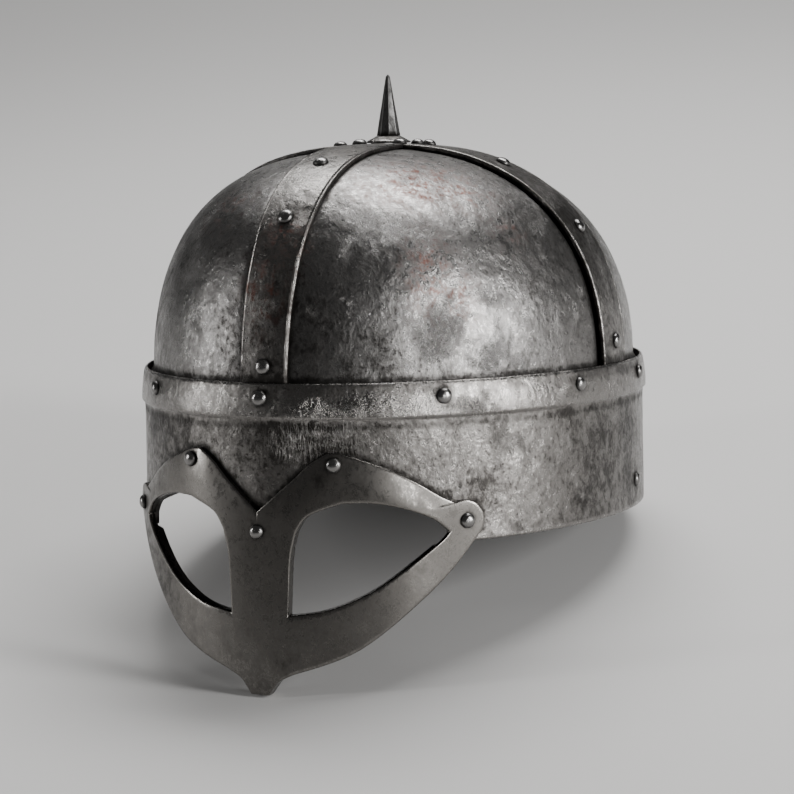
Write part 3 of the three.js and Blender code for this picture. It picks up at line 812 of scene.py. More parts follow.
def iron_relief(tree, maps, pits, scarred):
    """A faint hammered skin, wrinkles, pits, grain and scratches, with their depths in metres."""
    layers = (("relief", 0.0011 * pits, 0.5), ("fine", 0.00022 * pits, 0.55),
              ("wrinkles", 0.000075 * scarred, 0.8), ("holes", 0.00006 * pits, 0.5),
              ("grain", 0.00005 * pits, 0.6), ("cut", -0.0001 * scarred, 0.8))
    maps["wrinkles"] = crackle(tree)
    normal = None
    for name, depth, strength in layers:
        normal = tree.bump(maps[name], depth, strength, normal)
    return normal


def iron(name, light, mid, dark, rough, stained=0.0, streak=0.85, pits=1.0, scarred=1.0, speckle=1.0):
    """Worn iron: bare metal under brown-black stains, grime, rust specks, pits, wrinkles and scratches; the
    stain and grime maps also carry painted shade, and the wear map a painted highlight.
    """
    tree = Tree(name)
    maps = noise_maps(tree, streak)
    add_stain_maps(tree, maps, stained)
    add_cut_map(tree, maps, scarred)
    tree.put(tree.shader.inputs["Base Color"], iron_colour(tree, maps, light, mid, dark, speckle))
    tree.put(tree.shader.inputs["Roughness"], iron_roughness(tree, maps, rough))
    tree.put(tree.shader.inputs["Normal"], iron_relief(tree, maps, pits, scarred))
    tree.put(tree.shader.inputs["Metallic"], 1.0)
    return tree.material


plate_iron = iron("plate_iron_worn", (0.235, 0.228, 0.221, 1), (0.15, 0.145, 0.14, 1),
                  (0.05, 0.046, 0.043, 1), (0.24, 0.36))
band_iron = iron("band_iron_worn", (0.21, 0.201, 0.191, 1), (0.13, 0.123, 0.116, 1),
                 (0.043, 0.039, 0.036, 1), (0.23, 0.36), stained=0.01)
guard_iron = iron("guard_iron_worn", (0.17, 0.161, 0.15, 1), (0.135, 0.128, 0.119, 1),
                  (0.055, 0.051, 0.047, 1), (0.24, 0.33), stained=-0.02, streak=0.8, pits=0.1, scarred=0.0,
                  speckle=0.1)
rivet_iron = iron("rivet_iron_worn", (0.2, 0.195, 0.19, 1), (0.13, 0.127, 0.124, 1),
                  (0.05, 0.048, 0.046, 1), (0.22, 0.36), pits=0.4, scarred=0.3, speckle=0.3)
spike_iron = iron("spike_iron_worn", (0.11, 0.108, 0.106, 1), (0.07, 0.069, 0.067, 1),
                  (0.03, 0.029, 0.028, 1), (0.34, 0.5), streak=0.3, pits=0.5, scarred=0.3, speckle=0.5)

# Bowl plates
PLATE_ROWS = 96
PLATE_COLUMNS = 104
HEM_ROWS = 14
HEM_TOP_RISE = 0.03
WIDEST_LAP, WIDEST_FOOT, WIDEST_TOP = 0.24, 0.3, 0.45
# Painted shade over the plates' inner faces
INSIDE_GRIME_AND_SHADE = 0.35


def hem_offset(angle, rise):
    quarter = math.pi / 2
    from_band = np.abs(angle / quarter - np.round(angle / quarter)) * quarter
    return HEM_FLARE * smooth_step(*HEM_ANGLE, from_band) * (1 - smooth_step(*HEM_RISE, rise))


def band_distance(points):
    """How far a point of the bowl lies outside the nearest band's edge."""
    x, y, z = points[..., 0], points[..., 1], points[..., 2]
    forward = np.arctan2(z - BOWL_BASE, np.abs(y - CROWN_SHIFT))
    turn = np.where(y < CROWN_SHIFT, forward, math.pi - forward)
    lean = CREST_LEAN * np.sin(math.pi * np.clip(turn / (math.pi / 2), 0, 1))
    crest = np.abs(x - lean) - crest_half_width(turn)
    sideways = np.arctan2(z - BOWL_BASE, np.abs(x))
    side = np.abs(y - bowl_shift(np.abs(x) / HALF_WIDTH)) - side_half_width(sideways)
    return np.minimum(crest, side)


def plate_paint(points):
    paint = paint_common(points)
    # Painted shade beside the bands, above the brow band's top edge and round rivet feet; the polished spots
    # are a painted highlight with wear
    beside_band = 0.4 * nearness(np.maximum(band_distance(points), 0), 1.0)
    at_rim = 0.7 * nearness(np.maximum(points[..., 2] - RIM_HEIGHT, 0), 1.6)
    paint["grime_and_shade"] = np.maximum(np.maximum(beside_band, at_rim), 0.4 * near_rivets(points, 1.6))
    paint["wear_and_highlight"] = blob(points, POLISH_AND_HIGHLIGHT)
    return paint


def plate_grid(quarter):
    """Angles of a plate's grid, and how far each place is sunk under the next plate."""
    start = quarter * math.pi / 2
    end = start + math.pi / 2
    low = np.linspace(PLATE_BOTTOM_RISE, HEM_TOP_RISE, HEM_ROWS)
    high = np.linspace(HEM_TOP_RISE, PLATE_TOP_RISE, PLATE_ROWS - HEM_ROWS + 1)[1:]
    rises = np.concatenate([low, high])
    angles = []
    sunk = []
    for rise in rises:
        radius = bowl_profile(rise)[0] * HALF_WIDTH
        lap = math.asin(min(LAP_REACH / radius, WIDEST_LAP))
        foot = math.asin(min(JOGGLE_FOOT / radius, WIDEST_FOOT))
        top = min(max(HEM_ANGLE[0], math.asin(min(JOGGLE_TOP / radius, 1))), WIDEST_TOP)
        row = np.linspace(start - lap, end + lap, PLATE_COLUMNS)
        angles.append(row)
        sunk.append(smooth_step(end - top, end - foot, row))
    return np.array(angles), rises[:, None], np.array(sunk)


def sheet_faces(rows, columns):
    """Faces of a sheet: its outer grid, its inner grid, and the four edges between them."""
    count = rows * columns
    faces = grid_faces(rows, columns) + grid_faces(rows, columns, count, flip=True)
    near = [r * columns for r in range(rows)]
    far = [r * columns + columns - 1 for r in range(rows)]
    bottom = list(range(columns))
    top = [(rows - 1) * columns + c for c in range(columns)]
    for line, flip in ((near, True), (far, False), (bottom, False), (top, True)):
        for a, b in zip(line, line[1:]):
            face = (a, b, b + count, a + count)
            faces.append(face if flip else tuple(reversed(face)))
    return faces


def make_plate(word, quarter):
    angles, rises, sunk = plate_grid(quarter)
    base = bowl_points(angles, rises)
    normals = bowl_normals(base)
    outer_offset = hem_offset(angles, rises) - sunk * JOGGLE_DEPTH + bowl_hammering(base)
    outer = base + normals * outer_offset[..., None]
    inner = base + normals * (outer_offset - PLATE_THICKNESS)[..., None]
    vertices = np.concatenate([outer.reshape(-1, 3), inner.reshape(-1, 3)])
    inside = plate_paint(inner)
    inside["grime_and_shade"] = np.maximum(inside["grime_and_shade"], INSIDE_GRIME_AND_SHADE)
    paint = merged(plate_paint(outer), inside)
    faces = sheet_faces(*angles.shape)
    stand_in(f"dome_plate_{word}", vertices, faces, CENTRE, plate_iron, paint)


for quarter, word in enumerate(("front_left", "back_left", "back_right", "front_right")):
    make_plate(word, quarter)

# Bands over the bowl: a rounded strap section carried along them
EDGE_RADIUS = 0.85
CORNER_POINTS = 5
BAND_TOP_POINTS = 22
BAND_UNDER_POINTS = 9
EDGE_WANDER = 0.22
EDGE_WANDER_SIZE = 11.0
CREST_STATIONS = 230
SIDE_STATIONS = 130


def band_section():
    """The strap's section: share of the half width, distance from its edge, height share and fall."""
    corner = [(EDGE_RADIUS * (1 - math.sin(a)), EDGE_RADIUS * (1 - math.cos(a)))
              for a in np.linspace(0, math.pi / 2, CORNER_POINTS)]
    left = [(-1, -inwards, 1, fallen) for inwards, fallen in corner[::-1]]
    top = [(share, 0, 1, 0) for share in np.linspace(-0.93, 0.93, BAND_TOP_POINTS)]
    right = [(1, inwards, 1, fallen) for inwards, fallen in corner]
    wall_right = [(1, 0, 0.4, 0), (1, 0.15, 0, 0)]
    under = [(share, 0, 0, 0) for share in np.linspace(0.8, -0.8, BAND_UNDER_POINTS)]
    wall_left = [(-1, -0.15, 0, 0), (-1, 0, 0.4, 0)]
    return np.array(left + top + right + wall_right + under + wall_left)


def band_paint(points, section, wall_shade):
    paint = paint_common(points)
    edge = np.broadcast_to(np.abs(section[:, 0]), points.shape[:-1])
    # The side walls are painted dark: painted shade, stronger on the crest band and the left side band
    side_wall = (section[:, 2] < 0.5) | (section[:, 3] > EDGE_RADIUS * 0.6)
    side_wall = np.broadcast_to(side_wall, points.shape[:-1])
    at_rim = nearness(np.maximum(points[..., 2] - RIM_HEIGHT, 0), 2.6)
    # The crest top's polished spots and a light line at the edges: painted highlight together with wear
    polish_and_highlight = np.maximum(blob(points, BAND_POLISH_AND_HIGHLIGHT), ramp(0.9, 1.0, edge) * 0.2)
    paint["wear_and_highlight"] = np.where(side_wall, 0.0, polish_and_highlight)
    # Painted shade round rivet feet and where the band meets the brow band's rim
    grime_and_shade = np.maximum(0.6 * near_rivets(points, 1.1), at_rim * 0.7)
    paint["grime_and_shade"] = np.maximum(np.where(side_wall, wall_shade, 0.0), grime_and_shade)
    return merged(paint)


def make_band(node, turns, half_width_at, point_at, wall_shade):
    section = band_section()
    turn = turns[:, None]
    walk = np.stack([turns * 90, turns * 0, turns * 0], -1)
    wander = EDGE_WANDER * lattice_noise(walk, EDGE_WANDER_SIZE, 5)[:, None]
    across = section[:, 0] * (half_width_at(turn) + wander) - section[:, 1]
    base = point_at(turn, across)
    offset = BAND_GAP + section[:, 2] * BAND_THICKNESS - section[:, 3] + bowl_hammering(base)
    points = base + bowl_normals(base) * offset[..., None]
    vertices, faces = loft(points)
    paint = band_paint(points, section, wall_shade)
    stand_in(node, vertices, faces, CENTRE, band_iron, paint)


# How dark each band's side walls are painted, as painted shade
CREST_WALL_SHADE = 0.5
SIDE_WALL_SHADE = {"left": 0.3, "right": 0.1}
SIDE_END_TURN = math.atan2(BOWL_TOP - BOWL_BASE, SIDE_END)


def make_bands():
    turns = np.linspace(BAND_END_RISE, math.pi - BAND_END_RISE, CREST_STATIONS)
    make_band("crest_band", turns, crest_half_width, crest_points, CREST_WALL_SHADE)
    turns = np.linspace(BAND_END_RISE, SIDE_END_TURN, SIDE_STATIONS)
    for side, word in SIDES:
        point_at = functools.partial(side_points, side)
        make_band(f"side_band_{word}", turns, side_half_width, point_at, SIDE_WALL_SHADE[word])


make_bands()

# Outline of the eye guard's left half, as length along the plan and height. The eye hole and the
# outline are each cut into four stretches that face each other
SPLINE_STEPS = 48


def spline(points, count):
    """Evenly spaced points on the smooth curve through the given ones."""
    points = np.array(points, float)
    padded = np.vstack([points[:1], points, points[-1:]])
    dense = []
    t = np.linspace(0, 1, SPLINE_STEPS, endpoint=False)[:, None]
    for i in range(len(points) - 1):
        a, b, c, d = padded[i:i + 4]
        slope_b = (c - a) / 2
        slope_c = (d - b) / 2
        cubic = (2 * b - 2 * c + slope_b + slope_c) * t ** 3
        dense.append(cubic + (-3 * b + 3 * c - 2 * slope_b - slope_c) * t ** 2 + slope_b * t + b)
    dense = np.vstack(dense + [points[-1:]])
    walk = np.concatenate([[0], np.cumsum(np.linalg.norm(np.diff(dense, axis=0), axis=1))])
    even = np.linspace(0, walk[-1], count + 1)
    return np.stack([np.interp(even, walk, dense[:, k]) for k in (0, 1)], -1)


def chain(*parts):
    return np.vstack([part if i == 0 else part[1:] for i, part in enumerate(parts)])


def even_line(start, end, count):
    share = np.linspace(0, 1, count + 1)[:, None]
    return np.array(start) * (1 - share) + np.array(end) * share


EAR_RADIUS = 7.7


def ear_arc(start, end, count):
    turn = np.radians(np.linspace(start, end, count + 1))
    return np.array(EAR_CENTRE) + EAR_RADIUS * np.stack([np.cos(turn), np.sin(turn)], -1)


EAR_TOP_TURN, EAR_SIDE_TURN, EAR_END_TURN = 118, 0, -35
EYE_INNER, EYE_BRIDGE, EYE_PEAK, EYE_OUTER = (12, -26), (15.6, 5.6), (33, 16.4), (73.6, 4.4)
NOTCH, BROW_PEAK, NASAL_CORNER = (0, 13), (27.6, 35.3), (3.6, -GUARD_DROP)
EAR_TOP = tuple(ear_arc(EAR_TOP_TURN, EAR_TOP_TURN, 0)[0])
EAR_END = tuple(ear_arc(EAR_END_TURN, EAR_END_TURN, 0)[0])
EYE_STRETCHES = [
    spline([EYE_INNER, (12.6, -14), (13.4, -3.5), EYE_BRIDGE], 34),
    spline([EYE_BRIDGE, (20.6, 11.9), EYE_PEAK], 22),
    spline([EYE_PEAK, (44, 16.3), (56, 13.9), (67, 9.6), EYE_OUTER], 56),
    spline([EYE_OUTER, (70, 0.8), (60, -6.2), (45, -16), (28, -23.2), EYE_INNER], 70),
]
LOWER_TURN = (14, -48)
OUTLINE_STRETCHES = [
    even_line((0, -GUARD_DROP), NOTCH, 34),
    spline([NOTCH, (14, 25), (21, 31.4), BROW_PEAK], 22),
    chain(spline([BROW_PEAK, (32.6, 34.9), (40, 32.7), (51, 28.6), (62, 23.2), (70, 18.3), EAR_TOP], 36),
          ear_arc(EAR_TOP_TURN, EAR_SIDE_TURN, 20)),
    chain(ear_arc(EAR_SIDE_TURN, EAR_END_TURN, 10),
          spline([EAR_END, (74.2, -10.5), (58.7, -24), (42, -36.6), (30, -42.6), LOWER_TURN], 36),
          spline([LOWER_TURN, (8.2, -50.8), (5.4, -54), NASAL_CORNER], 18),
          even_line(NASAL_CORNER, (0, -GUARD_DROP), 6)),
]
EYE_LINE = chain(*EYE_STRETCHES)
OUTLINE = chain(*OUTLINE_STRETCHES)
MIDDLE_COLUMNS = 34

# Brow band: its section, as offset and height, is carried round the plan, and its lower edge climbs
# over the eyes
BROW_OUTER = [(0.6, 0), (0.2, 43.6), (1.2, 46.6), (1.5, 49), (1.2, 53.5), (0.5, 58.4), (0, 60.2),
              (-0.7, RIM_HEIGHT)]
BROW_INNER = [(-1.2, 60.1), (-1.25, 49), (-1.9, 43.5), (-1.5, 0)]


def offset_curve(profile):
    rising = sorted(((height, offset) for offset, height in profile))
    dense = spline(rising, 400)
    return lambda height: np.interp(height, dense[:, 0], dense[:, 1])


brow_outer_at = offset_curve(BROW_OUTER)
brow_inner_at = offset_curve(BROW_INNER)
EDGE_STEP = 0.15
FOOT_STEP = 1.2
FLANK = 88
BACK_COLUMNS = 250


def brow_columns():
    """Angles round the plan with the height of the lower edge at each."""
    over_eye = chain(*EYE_STRETCHES[:3])
    over_eye = over_eye[over_eye[:, 1] > 0]
    foot = np.array([[over_eye[0, 0] - EDGE_STEP, 0.0]])
    heel = np.array([[over_eye[-1, 0] + EDGE_STEP, 0.0]])
    half = np.vstack([even_line((FOOT_STEP, 0), (foot[0, 0] - 1, 0), 9), foot, over_eye, heel,
                      even_line((heel[0, 0] + FOOT_STEP, 0), (FLANK, 0), 8)])
    left = angle_at_arc(half[:, 0] + GUARD_SHIFT)
    right = angle_at_arc(-half[:, 0] + GUARD_SHIFT)
    round_back = np.linspace(left[-1], right[-1] + 2 * math.pi, BACK_COLUMNS)[1:-1]
    angles = np.concatenate([[angle_at_arc(GUARD_SHIFT)], left, round_back, right[::-1] + 2 * math.pi])
    lower = np.concatenate([[0], half[:, 1], np.zeros(len(round_back)), half[::-1, 1]])
    return angles, lower


def guard_distance(arc, height):
    """Distance outside the guard's outline, for points given along the plan and up."""
    along = np.abs(arc - GUARD_SHIFT)
    spots = np.stack([along.ravel(), height.ravel()], -1)
    line = OUTLINE[MIDDLE_COLUMNS:]
    gap = np.full(len(spots), np.inf)
    for start, end in zip(line[:-1:2], line[2::2]):
        run = end - start
        share = np.clip(((spots - start) @ run) / max(run @ run, 1e-9), 0, 1)
        gap = np.minimum(gap, np.linalg.norm(spots - start - share[:, None] * run, axis=1))
    return gap.reshape(arc.shape)


LOW_SHARES = np.array([0, 0.006, 0.016, 0.035, 0.09, 0.2, 0.35, 0.5, 0.65, 0.8, 0.92])
LOW_TOP = 22.0
HIGH_HEIGHTS = np.concatenate([np.linspace(LOW_TOP, 42, 9), np.linspace(43, 49, 11), np.linspace(50, 57, 7),
                               np.linspace(58, RIM_HEIGHT, 7)])
INNER_RIM_DROP = 0.35
LOWER_EDGE_FALLS = (0.45, 0.2, 0.06)
GUARD_FLANK = 84
GUARD_FLANK_FADE = 14


def brow_heights(lower):
    low = lower[:, None] + (LOW_TOP - lower[:, None]) * LOW_SHARES
    return np.hstack([low, np.broadcast_to(HIGH_HEIGHTS, (len(lower), len(HIGH_HEIGHTS)))])


def arc_of(angles):
    """Signed length along the plan from the middle of the face."""
    return arc_at_angle((angles + math.pi) % (2 * math.pi) - math.pi)


def brow_paint(points, true, arc, is_inner):
    paint = paint_common(points)
    height = true[..., 2]
    gap = guard_distance(np.broadcast_to(arc[:, None], height.shape), height)
    # Painted shade along the guard's outline, under the strip and round rivet feet; the inner face is painted
    # darker, most under the rim
    beside_guard = 0.8 * nearness(gap, 1.5) * (height > 2)
    under_strip = 0.3 * nearness(height - 44.6, 1.2)
    grime_and_shade = np.maximum(np.maximum(beside_guard, under_strip), 0.6 * near_rivets(points, 1.2))
    paint["grime_and_shade"] = np.where(is_inner, 0.4 + 0.6 * (height > 56), grime_and_shade)
    # The strip's bulge and the edges are painted lighter and glossier: painted highlight with wear
    on_strip = smooth_step(46, 48, height) * (1 - smooth_step(54, 58, height))
    polish_and_highlight = on_strip * np.clip(0.7 + 0.5 * lattice_noise(true, 22.0, 14), 0, 1)
    at_edges = np.maximum(smooth_step(59.6, 60.8, height), 0.5 * (height < 1.0))
    paint["wear_and_highlight"] = np.where(is_inner, 0.0, np.maximum(at_edges, polish_and_highlight))
    return merged(paint)


def make_brow_band():
    angles, lower = brow_columns()
    heights = brow_heights(lower)
    rows = heights.shape[1]
    edge = np.zeros(rows)
    edge[:len(LOWER_EDGE_FALLS)] = LOWER_EDGE_FALLS
    inner_heights = np.minimum(heights[:, ::-1], RIM_HEIGHT - INNER_RIM_DROP)
    all_heights = np.hstack([heights, inner_heights])
    outer_offset = brow_outer_at(heights) - edge
    inner_offset = brow_inner_at(inner_heights) + edge[::-1] * 0.8
    points = plan_points(angles[:, None], np.hstack([outer_offset, inner_offset]), all_heights)
    true = plan_points(angles[:, None], 0.0, all_heights)
    arc = arc_of(angles)
    beyond_guard = np.maximum(np.abs(arc - GUARD_SHIFT) - GUARD_FLANK, 0)
    at_guard = nearness(beyond_guard, GUARD_FLANK_FADE)[:, None] * (1 - smooth_step(30, 44, true[..., 2]))
    out = plan_normal(angles)[:, None, :]
    points = points + out * (brow_hammering(true) * (1 - at_guard))[..., None]
    vertices, faces = loft(points, wrap=True)
    is_inner = np.arange(points.shape[1]) >= rows
    paint = brow_paint(points, true, arc, is_inner)
    stand_in("brow_band", vertices, faces, CENTRE, band_iron, paint)


make_brow_band()

# Eye guard: a ring of cells round each eye hole, with rounded edges and brows that fall away upwards
GUARD_EDGE = 0.75
GUARD_INNER_EDGE = 0.3
CAMBER_DROP = 0.95
CAMBER_REACH = 11.0
CAMBER_POWER = 1.6
CAMBER_RISE = 16
CAMBER_END = (30, 8)
GUARD_SWELL, GUARD_SWELL_SIZE = 0.16, 24.0
GUARD_RIPPLE, GUARD_RIPPLE_SIZE = 0.05, 9.0
EDGE_SHARES = np.array([0, 0.04, 0.16, 0.36, 0.64, 1.0])
ACROSS_STEPS = 17
FAR_FROM_EDGE = 99.0
OVER_BAND_GAP = 0.18
OVER_BAND_TOP = 44


def fall(distance, radius):
    near = np.clip(radius - distance, 0, radius)
    return radius - np.sqrt(np.maximum(radius * radius - near * near, 0))


def guard_inner_at(height):
    over_band = brow_outer_at(np.clip(height, 0, OVER_BAND_TOP)) + OVER_BAND_GAP
    return GUARD_INNER + (over_band - GUARD_INNER) * smooth_step(-1.0, -0.2, height)


def guard_spots():
    """The guard's grid along the plan and up, with distances from the eye hole and from the outline."""
    run = OUTLINE - EYE_LINE
    length = np.linalg.norm(run, axis=1)[:, None]
    near = EDGE_SHARES * GUARD_EDGE
    steps = np.linspace(0, 1, ACROSS_STEPS)[1:-1]
    inside = GUARD_EDGE + (length - 2 * GUARD_EDGE) * steps
    distance = np.hstack([np.broadcast_to(near, (len(length), len(near))), inside, length - near[::-1]])
    spots = EYE_LINE[:, None, :] + run[:, None, :] * (distance / length)[..., None]
    on_middle = (np.arange(len(length)) < MIDDLE_COLUMNS)[:, None]
    return spots, distance, np.where(on_middle, FAR_FROM_EDGE, length - distance)


def guard_camber(from_outline):
    """How far the brows fall away towards their upper edges."""
    columns = np.arange(len(from_outline))
    last = MIDDLE_COLUMNS + len(OUTLINE_STRETCHES[1]) + len(OUTLINE_STRETCHES[2]) - 2
    begins = smooth_step(MIDDLE_COLUMNS, MIDDLE_COLUMNS + CAMBER_RISE, columns)
    ends = 1 - smooth_step(last - CAMBER_END[0], last - CAMBER_END[1], columns)
    near_outline = np.clip(1 - from_outline / CAMBER_REACH, 0, 1)
    return CAMBER_DROP * (begins * ends)[:, None] * near_outline ** CAMBER_POWER


def guard_faces(columns, rows):
    count = columns * rows
    faces = grid_faces(columns, rows) + grid_faces(columns, rows, count, flip=True)
    for c in range(columns - 1):
        a, b = c * rows, (c + 1) * rows
        faces.append((a, a + count, b + count, b))
        if c >= MIDDLE_COLUMNS:
            a, b = a + rows - 1, b + rows - 1
            faces.append((b, b + count, a + count, a))
    return faces


def guard_paint(outer, inner, spots, from_edge):
    paint = paint_common(outer)
    # Painted shade in the notch between the brows, round rivet feet and over the inner face; the edges are
    # painted lighter as painted highlight with wear
    in_notch = 0.3 * nearness(np.hypot(spots[..., 0], spots[..., 1] - 12), 6)
    paint["wear_and_highlight"] = 0.9 * nearness(from_edge, 0.9)
    paint["grime_and_shade"] = np.maximum(0.75 * near_rivets(outer, 1.5), in_notch)
    under = paint_common(inner)
    under["wear_and_highlight"] = np.zeros(from_edge.shape)
    under["grime_and_shade"] = np.full(from_edge.shape, 0.3)
    return merged(paint, under)


def guard_half(side):
    spots, distance, from_outline = guard_spots()
    angles = angle_at_arc(side * spots[..., 0] + GUARD_SHIFT)
    heights = spots[..., 1]
    true = plan_points(angles, 0.0, heights)
    waviness = (GUARD_SWELL * lattice_noise(true, GUARD_SWELL_SIZE, 8)
                + GUARD_RIPPLE * lattice_noise(true, GUARD_RIPPLE_SIZE, 9))
    edge_fall = fall(distance, GUARD_EDGE) + fall(from_outline, GUARD_EDGE)
    outer_offset = GUARD_OUTER - edge_fall - guard_camber(from_outline) + waviness
    outer = plan_points(angles, outer_offset, heights)
    inner_fall = fall(distance, GUARD_INNER_EDGE) + fall(from_outline, GUARD_INNER_EDGE)
    inner = plan_points(angles, guard_inner_at(heights) + inner_fall * (heights < -1), heights)
    vertices = np.concatenate([outer.reshape(-1, 3), inner.reshape(-1, 3)])
    faces = guard_faces(*heights.shape)
    if side < 0:
        faces = [tuple(reversed(face)) for face in faces]
    return vertices, faces, guard_paint(outer, inner, spots, np.minimum(distance, from_outline))


def make_guard():
    left, left_faces, left_paint = guard_half(1)
    right, right_faces, right_paint = guard_half(-1)
    vertices = np.concatenate([left, right])
    faces = left_faces + [tuple(corner + len(left) for corner in face) for face in right_faces]
    paint = merged(left_paint, right_paint)
    piece = stand_in("eye_guard", vertices, faces, CENTRE, guard_iron, paint)
    form = bmesh.new()
    form.from_mesh(piece.data)
    bmesh.ops.remove_doubles(form, verts=form.verts, dist=2e-6)
    bmesh.ops.recalc_face_normals(form, faces=form.faces)
    form.to_mesh(piece.data)
    form.free()
    piece.data.shade_smooth()


make_guard()

# Turned pieces
def lathe(profile, segments, wobble, seed):
    """Rings round the Z axis from a profile of radius and height that starts and ends on the axis."""
    vertices = [(0, 0, profile[0][1])]
    turn = np.linspace(0, 2 * math.pi, segments, endpoint=False)
    for radius, height in profile[1:-1]:
        uneven = 1 + wobble * np.sin(2 * turn + seed) + 0.6 * wobble * np.sin(3 * turn + 2.1 * seed)
        ring = np.stack([radius * uneven * np.cos(turn), radius * uneven * np.sin(turn),
                         np.full(segments, height)], -1)
        vertices.extend(ring.tolist())
    vertices.append((0, 0, profile[-1][1]))
    rings = len(profile) - 2
    faces = grid_faces(rings, segments, start=1, wrap=True)
    last = len(vertices) - 1
    for c in range(segments):
        following = (c + 1) % segments
        faces.append((0, 1 + following, 1 + c))
        faces.append((last, 1 + (rings - 1) * segments + c, 1 + (rings - 1) * segments + following))
    return np.array(vertices, float), faces


RIVET_RADIUS = 3.0
RIVET_HEIGHT = 2.15
RIVET_SHANK = 1.4
PEEN_RADIUS = 2.3
PEEN_HEIGHT = 0.9
RIVET_SIDES = 28
RIVET_WOBBLE = 0.012
RIVET_LEAN = 0.03
PEEN_STEP = 0.1
HEAD_STEP = 0.14
HEAD_RANGE = (0.94, 1.03)
RISE_RANGE = (0.92, 1.05)
MOST_RIVET_STAIN = 0.6


def frame_along(direction):
    helper = (0.0, 0.0, 1.0) if abs(direction[2]) < 0.9 else (1.0, 0.0, 0.0)
    side = np.cross(direction, helper)
    side = side / np.linalg.norm(side)
    return np.stack([side, np.cross(direction, side), direction], -1)


def rivet_profile(head, rise, top, bottom):
    """Radius and height from the peened end, up the shank and over the domed head."""
    peen = [(PEEN_RADIUS * math.cos(a), bottom - PEEN_HEIGHT * math.sin(a)) for a in np.linspace(1.4, 0, 5)]
    shank = [(PEEN_RADIUS, bottom + PEEN_STEP), (RIVET_SHANK, bottom + PEEN_STEP), (RIVET_SHANK, top)]
    foot = [(head * 0.97, top), (head, top + HEAD_STEP)]
    dome = [(head * math.cos(a) ** 0.9, top + rise * math.sin(a) ** 0.95) for a in np.linspace(0.12, 1.45, 9)]
    return [(0, bottom - PEEN_HEIGHT)] + peen + shank + foot + dome[1:] + [(0, top + rise)]


def make_rivet(number, rivet):
    rng = np.random.default_rng(100 + number)
    head = RIVET_RADIUS * rng.uniform(*HEAD_RANGE)
    rise = RIVET_HEIGHT * rng.uniform(*RISE_RANGE)
    profile = rivet_profile(head, rise, rivet["top"], rivet["bottom"])
    vertices, faces = lathe(profile, RIVET_SIDES, RIVET_WOBBLE, number)
    lean = rng.normal(0, RIVET_LEAN, 2)
    level = vertices[:, 2] - rivet["top"]
    raised = np.maximum(level, 0)
    vertices[:, :2] += lean * raised[:, None]
    placed = vertices @ frame_along(rivet["out"]).T + rivet["seat"]
    clean = np.zeros(len(vertices))
    stain_and_shade = clean + rng.uniform(0.0, MOST_RIVET_STAIN)
    # Painted shade at the foot of each head, and a painted highlight with wear on the top of the dome
    paint = {"stain_and_shade": stain_and_shade, "rust": clean, "scar": clean,
             "grime_and_shade": nearness(raised, 0.55), "wear_and_highlight": smooth_step(0.9, 1.9, level)}
    stand_in(rivet["name"], placed, faces, placed.mean(axis=0), rivet_iron, paint)


for number, rivet in enumerate(RIVETS):
    make_rivet(number, rivet)

WASHER_BASE = 150.0
# The washer's section, as radius and height above its rim's foot
WASHER_SECTION = [(0, 0.45), (2.4, 0.45), (8.8, 0), (9.1, 0.05), (9.3, 0.25), (9.2, 0.6), (8.5, 1.0),
                  (7.2, 1.7), (5.9, 2.4), (5.0, 2.85), (2.6, 2.95), (0, 2.95)]
WASHER_SIDES = 72
WASHER_WOBBLE = 0.012


def crown_piece(vertices):
    return vertices + np.array([0.0, CROWN_SHIFT, 0.0])


def make_washer():
    profile = [(radius, WASHER_BASE + height) for radius, height in WASHER_SECTION]
    vertices, faces = lathe(profile, WASHER_SIDES, WASHER_WOBBLE, 4)
    placed = crown_piece(vertices)
    radius = np.hypot(vertices[:, 0], vertices[:, 1])
    paint = paint_common(placed)
    at_foot = vertices[:, 2] < WASHER_BASE + 0.2
    # Painted shade round the spike's foot and at the washer's foot, and a painted highlight with wear on its
    # rim
    paint["grime_and_shade"] = np.maximum(nearness(radius - 4.9, 0.6), 0.5 * at_foot)
    paint["wear_and_highlight"] = 0.8 * nearness(radius - 8.8, 0.7)
    stand_in("crown_washer", placed, faces, placed.mean(axis=0), band_iron, paint)


SPIKE_BASE = 152.95
SPIKE_TIP = 178.0
SPIKE_RADIUS = 4.9
SPIKE_TIP_RADIUS = 0.75
SPIKE_SIDES = 8
SPIKE_TURN = math.radians(25.4)
SPIKE_ROWS = 26
TIP_HEIGHT = 1.2
TIP_ROUND = 0.9
TIP_SHRINK = 0.6
TIP_STEPS = np.array([0.75, 0.4, 0.15, 0])
RIDGE_STEPS = (-0.42, -0.1, -0.04, 0, 0.04, 0.1, 0.42)
RIDGE_CUT = 0.992
SPIKE_UNEVENNESS = 0.012


def spike_radius(height):
    share = (height - SPIKE_BASE) / (SPIKE_TIP - SPIKE_BASE)
    radius = SPIKE_RADIUS + (SPIKE_TIP_RADIUS - SPIKE_RADIUS) * share
    return radius * (1 - TIP_SHRINK * smooth_step(SPIKE_TIP - TIP_ROUND, SPIKE_TIP, height))


def spike_ring(height):
    """One level of the spike: flat sides that meet in slightly rounded ridges."""
    side = 2 * math.pi / SPIKE_SIDES
    ring = []
    for corner, step in itertools.product(range(SPIKE_SIDES), RIDGE_STEPS):
        flat = math.cos(side / 2) / math.cos(side / 2 - abs(step) * side)
        reach = min(flat, RIDGE_CUT) * spike_radius(height)
        turn = SPIKE_TURN + (corner + step) * side
        ring.append((reach * math.cos(turn), reach * math.sin(turn), height))
    return ring


